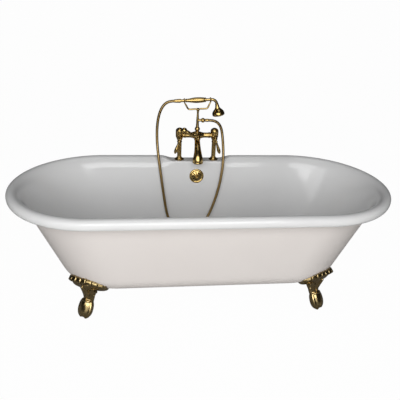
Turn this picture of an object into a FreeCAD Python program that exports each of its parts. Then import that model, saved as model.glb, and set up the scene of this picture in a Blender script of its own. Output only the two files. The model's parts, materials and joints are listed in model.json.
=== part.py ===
import FreeCAD, Part
import math
import os
from FreeCAD import Vector

# Cast iron roll-rim bathtub on claw feet, with deck taps, hand shower and waste.
# Millimetres. X runs along the tub, Y points to the tap side, Z is up.
# The origin is on the floor, under the middle of the rim.

# Tub
TUB_LENGTH = 1702.0
TUB_WIDTH = 762.0
RIM_HEIGHT = 560.0
BOTTOM_HEIGHT = 138.0
WALL = 6.5
SIDE_SLOPE = math.radians(9.0)
END_SLOPE = math.radians(23.5)
CORNER_RADIUS = 95.0

# Rolled rim, measured inward from its outermost line and down from its crest
RIM_WIDTH = 70.0
RIM_DEPTH = 52.0
CREST_INSET = 24.0
ROLL_DEPTH = 22.0
LIP_INSET = 6.5
LIP_DEPTH = 41.0
RIM_HANDLE = 24.0

# Flat deck in the rim for the taps
DECK_DEPTH = 18.0
DECK_CROWN = 4.0
DECK_INSET = 34.0
DECK_REACH = 27.0
DECK_MARGIN = 29.1
DECK_RAMP = 65.0
DECK_THICK = 8.0

# Feet, placed from the tub's end and side
FOOT_END_INSET = 318.0
FOOT_SIDE_INSET = 173.0
FOOT_GAP = 0.5
BRACKET_THICK = 11.0
BRACKET_HALF = 100.0
BRACKET_TOP = 210.0
BRACKET_LOW = 120.0
LOBES = 11
LEG_TUCK = 33.0
BALL_RADIUS = 30.0
BALL_SINK = 2.0
BALL_OUT = -2.0
TOE_RADIUS = 8.0
TOE_SPREAD = 48.0
TONGUE_THICK = 11.0
TONGUE_WIDTH = 44.0
BOSS_RADIUS = 18.0
BOSS_HEIGHT = 6.0
STUD_RADIUS = 5.0
STUD_INSET = 241.0
THREAD_GAP = 0.05
NUT_FLATS = 17.0
NUT_HEIGHT = 8.0
WASHER_THICK = 2.0
WASHER_RADIUS = 12.0

# Waste and overflow
PIPE_RADIUS = 19.05
PIPE_WALL = 1.6
SOCKET_GAP = 0.05
FITTING_RADIUS = 24.0
SLIP_NUT_RADIUS = 28.0
SLIP_NUT_LENGTH = 20.0
SLIP_CAP = 5.0
SPIGOT_RADIUS = 18.5
SOCKET_DEPTH = 24.0
OVERFLOW_DEPTH = 94.0
OVERFLOW_PLATE_RADIUS = 37.0
OVERFLOW_HOLE = 24.5
OVERFLOW_SLOTS = 12
OVERFLOW_TUBE_INSET = 35.0
DRAIN_INSET = 286.0
DRAIN_HOLE = 26.0
DRAIN_FLANGE_RADIUS = 37.0
THROAT_RADIUS = 24.0
THROAT_BORE = 20.0
STOPPER_RADIUS = 25.0
STOPPER_STEM = 4.0
RUNNING_GAP = 0.06
WASTE_Z = 96.0
TAIL_END = 24.0
GASKET_THICK = 3.0
SPOT_DEPTH = 0.4

# Taps
TAP_CENTRES = 177.8
SHANK_RADIUS = 13.2
SHANK_LENGTH = 34.0
SHANK_GAP = 0.2
SHANK_RISE = 7.0
SUPPLY_RADIUS = 10.48
SUPPLY_LENGTH = 30.0
DECK_HOLE = 14.3
WATERWAY = 6.5
RISER_RADIUS = 9.0
RISER_TOP = 112.0
COLLAR_RADIUS = 11.7
FLANGE_RADIUS = 24.0
FLANGE_HEIGHT = 11.0
DECK_WASHER = 1.5
LOCKNUT_FLATS = 33.0
LOCKNUT_HEIGHT = 10.0
BAR_HEIGHT = 131.0
BAR_RADIUS = 12.0
DOME_RADIUS = 19.0
DOME_HEIGHT = 150.0
HOUSING_RADIUS = 13.5
CENTRE_RADIUS = 21.0
STEM_BOSS = 22.0
STEM_DROP = 6.0
STEM_BOSS_RADIUS = 11.5
SPINDLE_RADIUS = 4.0
BONNET_LENGTH = 12.0
HUB_RADIUS = 9.5
DIVERTER_HUB = 11.5
HUB_GAP = 0.5
LEVER_SPLAY = math.radians(18.0)
LEVER_SCALE = 1.12
DIVERTER_TILT = math.radians(62.0)
KNOB_RADIUS = 13.5
KNOB_OUT = 79.0
SPOUT_START = Vector(0, -16, -21)
SPOUT_MOUTH_Y = -76.0
SPOUT_MOUTH_Z = 8.0
SPOUT_ROOT_RADIUS = 13.0
SPOUT_BELL_RADIUS = 25.5

# Hand shower and its cradle, heights above the deck
CRADLE_NUT_HEIGHT = 163.0
CRADLE_NUT_RADIUS = 13.3
NUT_CUT = 0.8
OUTLET_RISE = 45.0
OUTLET_REACH = 17.0
OUTLET_NUT_RADIUS = 11.6
OUTLET_NUT_X = 27.0
FERRULE_START = 37.0
FERRULE_END = 55.0
FORK_RISE = 57.0
FORK_ROD = 3.6
FORK_LEFT = -48.0
FORK_RIGHT = 46.0
SADDLE_LEFT = -68.5
SADDLE_RIGHT = 61.5
SADDLE_ROD = 3.0
SADDLE_GAP = 0.4
SADDLE_PRONG = 6.0
FORK_SPIGOT = 3.0
HANDSET_HEIGHT = 309.3
HANDSET_TILT = 3.2
HANDSET_TUBE = 7.0
GRIP_START = -62.0
GRIP_END = 38.0
CONE_START = -120.0
CONE_END = -89.0
NECK_END = 66.0
ELBOW_RADIUS = 26.0
ELBOW_TURN = 81.0
HEAD_RADIUS = 31.0
HEAD_LENGTH = 58.0
SPRAY_RADIUS = 27.0
SPRAY_HOLES = 12

# Hose centre line, heights measured from the deck, from the outlet to the handset
HOSE_RADIUS = 7.0
HOSE_ROUTE = (
    (80, 347, 208), (106, 347, 195), (123, 346, 168), (131, 341, 125), (136, 325, 65), (136, 303, 5),
    (129, 290, -65), (115, 279, -140), (93, 267, -215), (62, 252, -290), (18, 229, -344),
    (-46, 213, -362), (-110, 229, -346), (-150, 252, -290), (-164, 267, -215), (-175, 279, -140),
    (-185, 290, -65), (-194, 303, 5), (-201, 325, 65), (-204, 340, 120), (-203, 346, 172),
    (-197, 347, 220), (-185, 347, 259), (-167, 347, 287), (-143, 347, 301.3),
)

CREST = RIM_HEIGHT
DECK_Z = RIM_HEIGHT - DECK_DEPTH
DECK_Y = TUB_WIDTH / 2 - DECK_INSET
FLOOR_Z = BOTTOM_HEIGHT + WALL
FOOT_X = TUB_LENGTH / 2 - FOOT_END_INSET
FOOT_Y = TUB_WIDTH / 2 - FOOT_SIDE_INSET
STUD_REACH = TUB_WIDTH / 2 - STUD_INSET
OVERFLOW_TUBE_Y = TUB_WIDTH / 2 - OVERFLOW_TUBE_INSET
DRAIN_Y = TUB_WIDTH / 2 - DRAIN_INSET
OUTLET_HEIGHT = CRADLE_NUT_HEIGHT + OUTLET_RISE
FORK_HEIGHT = OUTLET_HEIGHT + FORK_RISE
TAP_X = TAP_CENTRES / 2
DECK_HALF = TAP_X + DECK_MARGIN
X_AXIS = Vector(1, 0, 0)
Y_AXIS = Vector(0, 1, 0)
Z_AXIS = Vector(0, 0, 1)
CENTRE = Vector(0, 0, 0)


def rod(start, end, radius):
    along = end - start
    return Part.makeCylinder(radius, along.Length, start, along)


def ball(centre, radius):
    return Part.makeSphere(radius, centre)


def fuse(shapes):
    return shapes[0].fuse(shapes[1:]).removeSplitter()


def group(shapes):
    return Part.makeCompound(shapes)


def placed(shape, base, axis):
    shape = shape.copy()
    shape.Placement = FreeCAD.Placement(base, FreeCAD.Rotation(Z_AXIS, axis)).multiply(shape.Placement)
    return shape


def turned(stations, base, axis, smooth=False):
    # Stations are (distance along the axis, radius).
    edge = [Vector(radius, 0, along) for along, radius in stations]
    foot = Vector(0, 0, edge[0].z)
    head = Vector(0, 0, edge[-1].z)
    if smooth:
        curve = Part.BSplineCurve()
        curve.interpolate(edge)
        side = [curve.toShape()]
    else:
        side = [Part.makeLine(a, b) for a, b in zip(edge, edge[1:])]
    ends = [Part.makeLine(foot, edge[0]), Part.makeLine(edge[-1], head), Part.makeLine(head, foot)]
    face = Part.Face(Part.Wire(Part.__sortEdges__(side + ends)))
    solid = face.revolve(CENTRE, Z_AXIS, 360)
    if solid.Volume < 0:
        solid.reverse()
    return placed(solid, base, axis)


def bead(radius, start, end):
    # Stations on a ball, between two places given as shares of its radius.
    shares = [start + (end - start) * k / 8 for k in range(9)]
    return [(radius * share, radius * math.sqrt(1 - share * share)) for share in shares]


def ring(outer, inner, thick, base, axis):
    outside = Part.makeCylinder(outer, thick, base, axis)
    return outside.cut(Part.makeCylinder(inner, thick, base, axis))


def hexagon(flats, height, bore, base, axis):
    corner = flats / math.sqrt(3)
    turns = [math.radians(60 * k) for k in range(7)]
    edge = Part.makePolygon([Vector(corner * math.cos(a), corner * math.sin(a), 0) for a in turns])
    solid = Part.Face(edge).extrude(Vector(0, 0, height))
    return placed(solid.cut(Part.makeCylinder(bore, height)), base, axis)


def tube(start, end, outer, inner):
    return rod(start, end, outer).cut(rod(start, end, inner))


def bezier(points, t):
    weights = ((1 - t) ** 3, 3 * t * (1 - t) ** 2, 3 * t * t * (1 - t), t ** 3)
    return tuple(sum(w * p[i] for w, p in zip(weights, points)) for i in (0, 1))


# Tub shell: a wall profile carried round a straight-sided outline with round ends

def wall_run(half, slope, offset):
    # From the floor up to the rim; offset 0 is the inside face, WALL the outside.
    top = half - RIM_WIDTH
    top_z = CREST - RIM_DEPTH
    arc_z = FLOOR_Z + CORNER_RADIUS
    arc_reach = top - (top_z - arc_z) * math.tan(slope) - CORNER_RADIUS / math.cos(slope)
    radius = CORNER_RADIUS + offset
    run = []
    for k in range(7):
        turn = math.pi / 2 + (slope - math.pi / 2) * k / 6
        run.append((arc_reach + radius * math.cos(turn), arc_z - radius * math.sin(turn)))
    low = run[-1]
    high = (top + offset / math.cos(slope), top_z)
    for k in range(1, 7):
        run.append((low[0] + (high[0] - low[0]) * k / 6, low[1] + (high[1] - low[1]) * k / 6))
    return run


def rim_run(half, slope, deck):
    # From the inside wall over the crest, round the lip and back under to the outside wall.
    def mix(rim, flat):
        return tuple(a + (b - a) * deck for a, b in zip(rim, flat))

    flat = -(DECK_DEPTH - DECK_CROWN)
    under = -DECK_DEPTH - DECK_THICK
    lift = (-RIM_HANDLE * math.sin(slope), RIM_HANDLE * math.cos(slope))
    inside = (RIM_WIDTH, -RIM_DEPTH)
    outside = (RIM_WIDTH - WALL / math.cos(slope), -RIM_DEPTH)
    crest = mix((CREST_INSET, 0), (DECK_INSET, flat))
    edge = mix((0, -ROLL_DEPTH), (0, flat - 10))
    lip = (LIP_INSET, -LIP_DEPTH)
    lip_back = (LIP_INSET + WALL, 3 - LIP_DEPTH)
    hollow = mix((WALL, -ROLL_DEPTH), (WALL, under - 3))
    roof = mix((CREST_INSET + 1, -WALL), (DECK_INSET, under))
    pieces = (
        (inside, (inside[0] + lift[0], inside[1] + lift[1]),
         mix((CREST_INSET + 22, 0), (DECK_INSET + DECK_REACH, flat)), crest, 7),
        (crest, mix((CREST_INSET - 13, 0), (DECK_INSET - DECK_REACH, flat)),
         mix((0, 13 - ROLL_DEPTH), (0, flat - 3)), edge, 5),
        (edge, mix((0, -ROLL_DEPTH - 9), (0, flat - 15)), (LIP_INSET - 4, 4 - LIP_DEPTH), lip, 3),
        (lip, (LIP_INSET + 2.5, -LIP_DEPTH - 2.5), (LIP_INSET + WALL, -LIP_DEPTH - 1), lip_back, 3),
        (lip_back, (WALL + 4, 7 - LIP_DEPTH), mix((WALL, 11 - LIP_DEPTH), (WALL, under - 7)), hollow, 3),
        (hollow, mix((WALL, 8 - ROLL_DEPTH), (WALL, under - 2)),
         mix((CREST_INSET - 9, -WALL), (DECK_INSET - DECK_REACH + 7, under)), roof, 5),
        (roof, mix((CREST_INSET + 20, -WALL), (DECK_INSET + 20, under)),
         (outside[0] + lift[0], outside[1] + lift[1]), outside, 6),
    )
    run = []
    for a, b, c, d, count in pieces:
        run += [bezier((a, b, c, d), k / count) for k in range(1, count + 1)]
    return [(half - inset, CREST + drop) for inset, drop in run]


def shell_run(half, slope, deck):
    inside = wall_run(half, slope, 0)
    outside = wall_run(half, slope, WALL)
    return inside + rim_run(half, slope, deck) + outside[::-1][1:]


def deck_share(x):
    t = (DECK_HALF + DECK_RAMP - abs(x)) / DECK_RAMP
    t = max(0.0, min(1.0, t))
    return t * t * (3 - 2 * t)


def outline(side, end, rear):
    # One closed ring; side is (half width, height), end is (half length, height),
    # and rear gives (half width, height) at a place along the rear side.
    half, low = side
    straight = end[0] - half
    points = [Vector(straight * k / 10, -half, low) for k in range(10)]
    for k in range(18):
        turn = math.pi * (k / 18 - 0.5)
        rise = (end[1] - low) * math.cos(turn) ** 2
        points.append(Vector(straight + half * math.cos(turn), half * math.sin(turn), low + rise))
    for k in range(40):
        x = straight * (1 - k / 20)
        y, z = rear(x)
        points.append(Vector(x, y, z))
    for k in range(18):
        turn = math.pi * (k / 18 + 0.5)
        rise = (end[1] - low) * math.cos(turn) ** 2
        points.append(Vector(half * math.cos(turn) - straight, half * math.sin(turn), low + rise))
    points += [Vector(straight * (k / 10 - 1), -half, low) for k in range(11)]
    return points


def spaced(points):
    run = [0.0]
    for a, b in zip(points, points[1:]):
        run.append(run[-1] + (b - a).Length)
    return [value / run[-1] for value in run]


def through(points, places):
    curve = Part.BSplineCurve()
    curve.interpolate(Points=points, Parameters=places)
    return curve


def closed_solid(rings, middle):
    # A smooth skin through the rings, closed with flat faces at the first and last ring.
    around = spaced(rings[middle])
    along = spaced([row[0] for row in rings])
    rows = [through(row, around) for row in rings]
    columns = []
    for k in range(rows[0].NbPoles):
        columns.append(through([row.getPole(k + 1) for row in rows], along))
    poles = [[column.getPole(k + 1) for column in columns] for k in range(columns[0].NbPoles)]
    skin = Part.BSplineSurface()
    skin.buildFromPolesMultsKnots(
        poles, columns[0].getMultiplicities(), rows[0].getMultiplicities(),
        columns[0].getKnots(), rows[0].getKnots(), False, False, 3, 3)
    faces = [skin.toShape()]
    for row in (rings[0], rings[-1]):
        edge = Part.Wire([through(row, around).toShape()])
        faces.append(Part.Face(Part.Plane(row[0], Z_AXIS), edge))
    shell = Part.makeShell(faces)
    shell.sewShape()
    solid = Part.makeSolid(shell)
    if solid.Volume < 0:
        solid.reverse()
    return solid


def tub_blank():
    side = shell_run(TUB_WIDTH / 2, SIDE_SLOPE, 0)
    end = shell_run(TUB_LENGTH / 2, END_SLOPE, 0)
    rear_runs = {}
    rings = []
    for k in range(len(side)):
        def rear(x, place=k):
            share = round(deck_share(x), 6)
            if share not in rear_runs:
                rear_runs[share] = shell_run(TUB_WIDTH / 2, SIDE_SLOPE, share)
            return rear_runs[share][place]

        rings.append(outline(side[k], end[k], rear))
    return closed_solid(rings, len(rings) // 2)


def hull(offset):
    # The tub's lower body as a plain solid, its face offset from the inside face.
    side = wall_run(TUB_WIDTH / 2, SIDE_SLOPE, offset)
    end = wall_run(TUB_LENGTH / 2, END_SLOPE, offset)
    rings = [outline(s, e, lambda x, place=s: place) for s, e in zip(side, end)]
    return closed_solid(rings, len(rings) // 2)


def wall_frame(depth):
    # Point on the inside of the rear wall and the wall's outward normal.
    z = CREST - depth
    y = TUB_WIDTH / 2 - RIM_WIDTH - (depth - RIM_DEPTH) * math.tan(SIDE_SLOPE)
    return Vector(0, y, z), Vector(0, math.cos(SIDE_SLOPE), -math.sin(SIDE_SLOPE))


def end_centre():
    # Centre of the round end at the level of the flat bottom.
    side = wall_run(TUB_WIDTH / 2, SIDE_SLOPE, WALL)[0]
    end = wall_run(TUB_LENGTH / 2, END_SLOPE, WALL)[0]
    return Vector(side[0] - end[0], 0, 0)


def foot_frame():
    # Front left foot: its place on the floor, the way out and the way along the tub.
    contact = Vector(-FOOT_X, -FOOT_Y, 0)
    out = contact - end_centre()
    out.normalize()
    along = Z_AXIS.cross(out)
    return contact, out, along


def stud_place():
    contact, out, along = foot_frame()
    return end_centre() + out * STUD_REACH


def mirrored(shape):
    # The same piece at all four corners: front left, front right, rear left, rear right.
    right = shape.mirror(CENTRE, X_AXIS)
    return [shape, right, shape.mirror(CENTRE, Y_AXIS), right.mirror(CENTRE, Y_AXIS)]


def tub():
    shell = tub_blank()
    stud = stud_place()
    boss_low = BOTTOM_HEIGHT - BOSS_HEIGHT
    boss = Part.makeCylinder(BOSS_RADIUS, BOSS_HEIGHT + 1, stud + Vector(0, 0, boss_low))
    shell = shell.fuse(mirrored(boss))
    far = DECK_HALF + DECK_RAMP * 1.1
    edge = ((-far, 0), (-DECK_HALF, -DECK_DEPTH), (DECK_HALF, -DECK_DEPTH), (far, 0), (far, 20), (-far, 20))
    edge = [Vector(x, TUB_WIDTH / 2 - RIM_WIDTH, CREST + z) for x, z in edge]
    edge = Part.makePolygon(edge + edge[:1])
    deck_cut = Part.Face(edge).extrude(Y_AXIS * (RIM_WIDTH + 10))
    cuts = [deck_cut]
    for x in (-TAP_X, TAP_X):
        cuts.append(Part.makeCylinder(DECK_HOLE, 60, Vector(x, DECK_Y, DECK_Z - 30)))
        seat = Vector(x, DECK_Y, DECK_Z - DECK_THICK - 10)
        cuts.append(Part.makeCylinder(LOCKNUT_FLATS * 0.6, 10 + SPOT_DEPTH, seat))
    wall, out = wall_frame(OVERFLOW_DEPTH)
    cuts.append(Part.makeCylinder(OVERFLOW_HOLE, 40, wall - out * 20, out))
    cuts.append(Part.makeCylinder(OVERFLOW_PLATE_RADIUS + 1, 20, wall - out * (20 - SPOT_DEPTH), out))
    cuts.append(Part.makeCylinder(OVERFLOW_PLATE_RADIUS + 1, 20, wall + out * (WALL - SPOT_DEPTH), out))
    cuts.append(Part.makeCylinder(DRAIN_HOLE, 40, Vector(0, DRAIN_Y, BOTTOM_HEIGHT - 20)))
    thread = Part.makeCylinder(STUD_RADIUS + THREAD_GAP, BOSS_HEIGHT + 4, stud + Vector(0, 0, boss_low))
    cuts += mirrored(thread)
    return shell.cut(cuts)


# Feet

def bracket_outline(contact, out, along):
    # Leaf edge in the upright plane across the foot: lobes along the top, wings running down.
    def place(side, height):
        return contact + along * side - out * 90 + Vector(0, 0, height)

    def arch(side):
        share = abs(side) / BRACKET_HALF
        return BRACKET_TOP - (BRACKET_TOP - BRACKET_LOW - 32) * share ** 2.4

    step = 2 * BRACKET_HALF / LOBES
    edges = []
    for k in range(LOBES):
        left = -BRACKET_HALF + k * step
        tops = (arch(left), arch(left + step))
        crown = place(left + step / 2, sum(tops) / 2 + step * 0.32)
        edges.append(Part.Arc(place(left, tops[0]), crown, place(left + step, tops[1])).toShape())
    corner = (place(BRACKET_HALF, arch(BRACKET_HALF)), place(-BRACKET_HALF, arch(BRACKET_HALF)))
    edges.append(Part.Arc(corner[0], place(0, BRACKET_LOW), corner[1]).toShape())
    return Part.Face(Part.Wire(Part.__sortEdges__(edges)))


def leg(contact, out, along):
    # Height, offset outward, half width along the tub, half depth outward.
    stations = ((172, -14, 50, 30), (148, -26, 42, 28), (124, -LEG_TUCK, 32, 25),
                (102, 2 - LEG_TUCK, 25, 22), (84, -24, 24, 21), (64, -12, 28, 24), (46, -4, 31, 28))
    wires = []
    for height, shift, wide, deep in stations:
        middle = contact + out * shift + Vector(0, 0, height)
        curve = Part.Ellipse(middle + along * wide, middle + out * deep, middle)
        wires.append(Part.Wire([curve.toShape()]))
    return Part.makeLoft(wires, True)


def toe(centre, direction):
    # A claw bent round the ball, from the ankle to below its waist.
    hinge = direction.cross(Z_AXIS)
    start = centre + Z_AXIS * (BALL_RADIUS + 1)
    disc = Part.Face(Part.Wire([Part.Circle(start, direction, TOE_RADIUS).toShape()]))
    claw = disc.revolve(centre, hinge, -102)
    tip = FreeCAD.Rotation(hinge, -102).multVec(start - centre) + centre
    return [claw, ball(tip, TOE_RADIUS)]


def foot():
    contact, out, along = foot_frame()
    inner = hull(WALL + FOOT_GAP)
    blade = bracket_outline(contact, out, along).extrude(out * 180)
    bracket = blade.common(hull(WALL + FOOT_GAP + BRACKET_THICK)).cut(inner)
    centre = contact + out * BALL_OUT + Z_AXIS * (BALL_RADIUS - BALL_SINK)
    pieces = [bracket, leg(contact, out, along).cut(inner), ball(centre, BALL_RADIUS)]
    for turn in (-TOE_SPREAD, 0, TOE_SPREAD, 180):
        direction = FreeCAD.Rotation(Z_AXIS, turn).multVec(out)
        pieces += toe(centre, direction)
    stud = stud_place()
    top = BOTTOM_HEIGHT - BOSS_HEIGHT
    low = Vector(0, 0, top - TONGUE_THICK)
    reach = (contact - stud).Length - LEG_TUCK
    tongue = Part.makeBox(reach, TONGUE_WIDTH, TONGUE_THICK, Vector(0, -TONGUE_WIDTH / 2, 0))
    tongue.rotate(CENTRE, Z_AXIS, math.degrees(math.atan2(out.y, out.x)))
    tongue.translate(stud + low)
    pieces += [tongue, Part.makeCylinder(TONGUE_WIDTH / 2, TONGUE_THICK, stud + low)]
    whole = pieces[0].fuse(pieces[1:])
    hole = Part.makeCylinder(STUD_RADIUS + 0.5, TONGUE_THICK + BOSS_HEIGHT, stud + low)
    pit = Part.makeCylinder(WASHER_RADIUS + 2, 60, stud + low - Z_AXIS * 60)
    ground = Part.makeBox(400, 400, 40, contact + Vector(-200, -200, -40))
    return whole.cut([hole, pit, ground, inner])


def foot_studs():
    low = BOTTOM_HEIGHT - BOSS_HEIGHT - TONGUE_THICK - WASHER_THICK - NUT_HEIGHT - 3
    top = BOTTOM_HEIGHT + 4
    return group(mirrored(Part.makeCylinder(STUD_RADIUS, top - low, stud_place() + Vector(0, 0, low))))


def foot_washers():
    base = stud_place() + Vector(0, 0, BOTTOM_HEIGHT - BOSS_HEIGHT - TONGUE_THICK - WASHER_THICK)
    return group(mirrored(ring(WASHER_RADIUS, STUD_RADIUS + 0.5, WASHER_THICK, base, Z_AXIS)))


def foot_nuts():
    low = BOTTOM_HEIGHT - BOSS_HEIGHT - TONGUE_THICK - WASHER_THICK - NUT_HEIGHT
    base = stud_place() + Vector(0, 0, low)
    return group(mirrored(hexagon(NUT_FLATS, NUT_HEIGHT, STUD_RADIUS + THREAD_GAP, base, Z_AXIS)))


# Overflow and waste

def overflow_plate():
    wall, out = wall_frame(OVERFLOW_DEPTH)
    seat = wall + out * SPOT_DEPTH
    edge = OVERFLOW_PLATE_RADIUS
    face = turned(((0, edge), (2.5, edge), (6.5, edge - 4), (7.5, edge - 7), (6, edge - 10),
                   (3.5, edge - 24), (3.5, 0.01)), seat, -out)
    slots = []
    for k in range(OVERFLOW_SLOTS):
        slot = Part.makeBox(15, 3.6, 30, Vector(11.5, -1.8, -10))
        slot.rotate(CENTRE, Z_AXIS, 360 * k / OVERFLOW_SLOTS)
        slots.append(placed(slot, seat, -out))
    back = Part.makeCylinder(edge - 3, 1.4, seat, -out)
    return face.cut([back, Part.makeCylinder(3, 30, seat + out * 10, -out)] + slots)


def overflow_screw():
    wall, out = wall_frame(OVERFLOW_DEPTH)
    seat = wall + out * SPOT_DEPTH - out * 3.5
    head = turned(((0, 6), (1.5, 6), (3, 3.5), (3.2, 0.01)), seat, -out)
    shank = Part.makeCylinder(2.5, 26, seat, out)
    notch = Part.makeBox(14, 1.4, 4, Vector(-7, -0.7, 2.2))
    return fuse([head, shank]).cut(placed(notch, seat, -out))


def overflow_gasket():
    wall, out = wall_frame(OVERFLOW_DEPTH)
    seat = wall + out * (WALL - SPOT_DEPTH)
    return ring(OVERFLOW_PLATE_RADIUS - 1, OVERFLOW_HOLE, GASKET_THICK, seat, out)


def overflow_elbow():
    wall, out = wall_frame(OVERFLOW_DEPTH)
    seat = wall + out * (WALL - SPOT_DEPTH + GASKET_THICK)
    turn = Vector(0, OVERFLOW_TUBE_Y, seat.z - 6)
    low = Vector(0, OVERFLOW_TUBE_Y, seat.z - 56)
    flange = Part.makeCylinder(OVERFLOW_PLATE_RADIUS - 1, 4, seat, out)
    solid = fuse([flange, rod(seat, turn, FITTING_RADIUS), ball(turn, FITTING_RADIUS),
                  rod(turn, low, FITTING_RADIUS)])
    bore = PIPE_RADIUS - PIPE_WALL
    hollow = fuse([rod(seat, turn, bore), ball(turn, bore), rod(turn, low, bore),
                   rod(low, low + Z_AXIS * SOCKET_DEPTH, PIPE_RADIUS + SOCKET_GAP)])
    bridge = Part.makeBox(2 * bore + 2, 9, 6, Vector(-bore - 1, -4.5, 0))
    solid = solid.cut(hollow).fuse(placed(bridge, seat, out))
    return solid.cut(Part.makeCylinder(2.5 + THREAD_GAP, 30, seat - out * 10, out))


def overflow_low():
    wall, out = wall_frame(OVERFLOW_DEPTH)
    return (wall + out * (WALL - SPOT_DEPTH + GASKET_THICK)).z - 56


def overflow_tube():
    low = Vector(0, OVERFLOW_TUBE_Y, WASTE_Z + 20)
    high = Vector(0, OVERFLOW_TUBE_Y, overflow_low() + SOCKET_DEPTH)
    return tube(low, high, PIPE_RADIUS, PIPE_RADIUS - PIPE_WALL)


def drain_gasket():
    base = Vector(0, DRAIN_Y, BOTTOM_HEIGHT - GASKET_THICK)
    return ring(DRAIN_FLANGE_RADIUS + 2, DRAIN_HOLE, GASKET_THICK, base, Z_AXIS)


def drain_flange():
    base = Vector(0, DRAIN_Y, FLOOR_Z)
    edge = DRAIN_FLANGE_RADIUS
    dish = turned(((0, edge), (0.8, edge), (2.5, edge - 5), (2.5, 0.01)), base, Z_AXIS)
    throat = Part.makeCylinder(THROAT_RADIUS, 26, base - Z_AXIS * 26)
    shape = fuse([dish, throat])
    recess = Part.makeCylinder(STOPPER_RADIUS + 3, 5, base + Z_AXIS)
    bore = Part.makeCylinder(THROAT_BORE, 60, base - Z_AXIS * 40)
    shape = shape.cut([recess, bore])
    bars = [Part.makeCylinder(8, 6, base - Z_AXIS * 20)]
    for turn in (0, 90):
        bar = Part.makeBox(2 * THROAT_BORE + 2, 4, 6, Vector(-THROAT_BORE - 1, -2, 0))
        bar.rotate(CENTRE, Z_AXIS, turn)
        bar.translate(base - Z_AXIS * 20)
        bars.append(bar)
    guide = Part.makeCylinder(STOPPER_STEM + RUNNING_GAP, 40, base - Z_AXIS * 30)
    return shape.fuse(bars).cut(guide)


def drain_stopper():
    base = Vector(0, DRAIN_Y, FLOOR_Z + 1)
    cap = turned(((0, STOPPER_RADIUS), (2.5, STOPPER_RADIUS), (4.5, STOPPER_RADIUS - 5), (6, 9),
                  (8, 4.5), (11, 4.2)), base, Z_AXIS)
    knob = ball(base + Z_AXIS * 15, 6.5)
    stem = Part.makeCylinder(STOPPER_STEM, 29, base - Z_AXIS * 29)
    return fuse([cap, knob, stem])


def drain_shoe():
    top = Vector(0, DRAIN_Y, BOTTOM_HEIGHT - GASKET_THICK)
    middle = Vector(0, DRAIN_Y, WASTE_Z)
    mouth = middle + Y_AXIS * 62
    flange = Part.makeCylinder(DRAIN_FLANGE_RADIUS + 2, 5, top - Z_AXIS * 5)
    solid = fuse([flange, rod(middle, top, 29), ball(middle, 29), rod(middle, mouth, FITTING_RADIUS)])
    bore = PIPE_RADIUS - PIPE_WALL
    hollow = [rod(top - Z_AXIS * 20, top, THROAT_RADIUS + SOCKET_GAP), rod(middle, top, THROAT_BORE),
              ball(middle, THROAT_BORE), rod(middle, mouth, bore),
              rod(mouth - Y_AXIS * SOCKET_DEPTH, mouth, PIPE_RADIUS + SOCKET_GAP)]
    return solid.cut(hollow)


def waste_pipe():
    start = Vector(0, DRAIN_Y + 62 - SOCKET_DEPTH, WASTE_Z)
    end = Vector(0, OVERFLOW_TUBE_Y - 20, WASTE_Z)
    return tube(start, end, PIPE_RADIUS, PIPE_RADIUS - PIPE_WALL)


def waste_tee():
    middle = Vector(0, OVERFLOW_TUBE_Y, WASTE_Z)
    top = middle + Z_AXIS * 44
    low = middle - Z_AXIS * 40
    branch = middle - Y_AXIS * 44
    solid = fuse([rod(low, top, FITTING_RADIUS), rod(middle, branch, FITTING_RADIUS)])
    bore = PIPE_RADIUS - PIPE_WALL
    socket = PIPE_RADIUS + SOCKET_GAP
    hollow = [rod(low, top, bore), rod(middle, branch, bore)]
    for end, radius in ((top, socket), (low, SPIGOT_RADIUS + SOCKET_GAP), (branch, socket)):
        inward = middle - end
        inward.normalize()
        hollow.append(rod(end, end + inward * SOCKET_DEPTH, radius))
    return solid.cut(hollow)


def waste_tail():
    # A spigot in the tee above, the full pipe size below the slip nut.
    high = Vector(0, OVERFLOW_TUBE_Y, WASTE_Z - 40 + SOCKET_DEPTH)
    step = Vector(0, OVERFLOW_TUBE_Y, WASTE_Z - 40 - SLIP_CAP - 0.5)
    low = Vector(0, OVERFLOW_TUBE_Y, TAIL_END)
    shape = fuse([rod(low, step, PIPE_RADIUS), rod(step, high, SPIGOT_RADIUS)])
    return shape.cut(rod(low, high, PIPE_RADIUS - PIPE_WALL))


def slip_nuts():
    middle = Vector(0, OVERFLOW_TUBE_Y, WASTE_Z)
    ends = ((Vector(0, OVERFLOW_TUBE_Y, overflow_low()), Z_AXIS),
            (middle + Z_AXIS * 44, Z_AXIS * -1), (middle - Z_AXIS * 40, Z_AXIS),
            (middle - Y_AXIS * 44, Y_AXIS), (Vector(0, DRAIN_Y + 62, WASTE_Z), Y_AXIS * -1))
    nuts = []
    for end, inward in ends:
        length = SLIP_NUT_LENGTH - SLIP_CAP
        sleeve = ring(SLIP_NUT_RADIUS - 1.5, FITTING_RADIUS + SOCKET_GAP, length, end, inward)
        cap = hexagon(2 * SLIP_NUT_RADIUS - 2, SLIP_CAP, PIPE_RADIUS + SOCKET_GAP, end, inward * -1)
        nuts.append(fuse([sleeve, cap]))
    return group(nuts)


# Taps

def tap_places():
    return [Vector(x, DECK_Y, DECK_Z) for x in (-TAP_X, TAP_X)]


def deck_washers():
    return group([ring(FLANGE_RADIUS - 1.5, SHANK_RADIUS + 0.4, DECK_WASHER, p, Z_AXIS)
                  for p in tap_places()])


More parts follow.
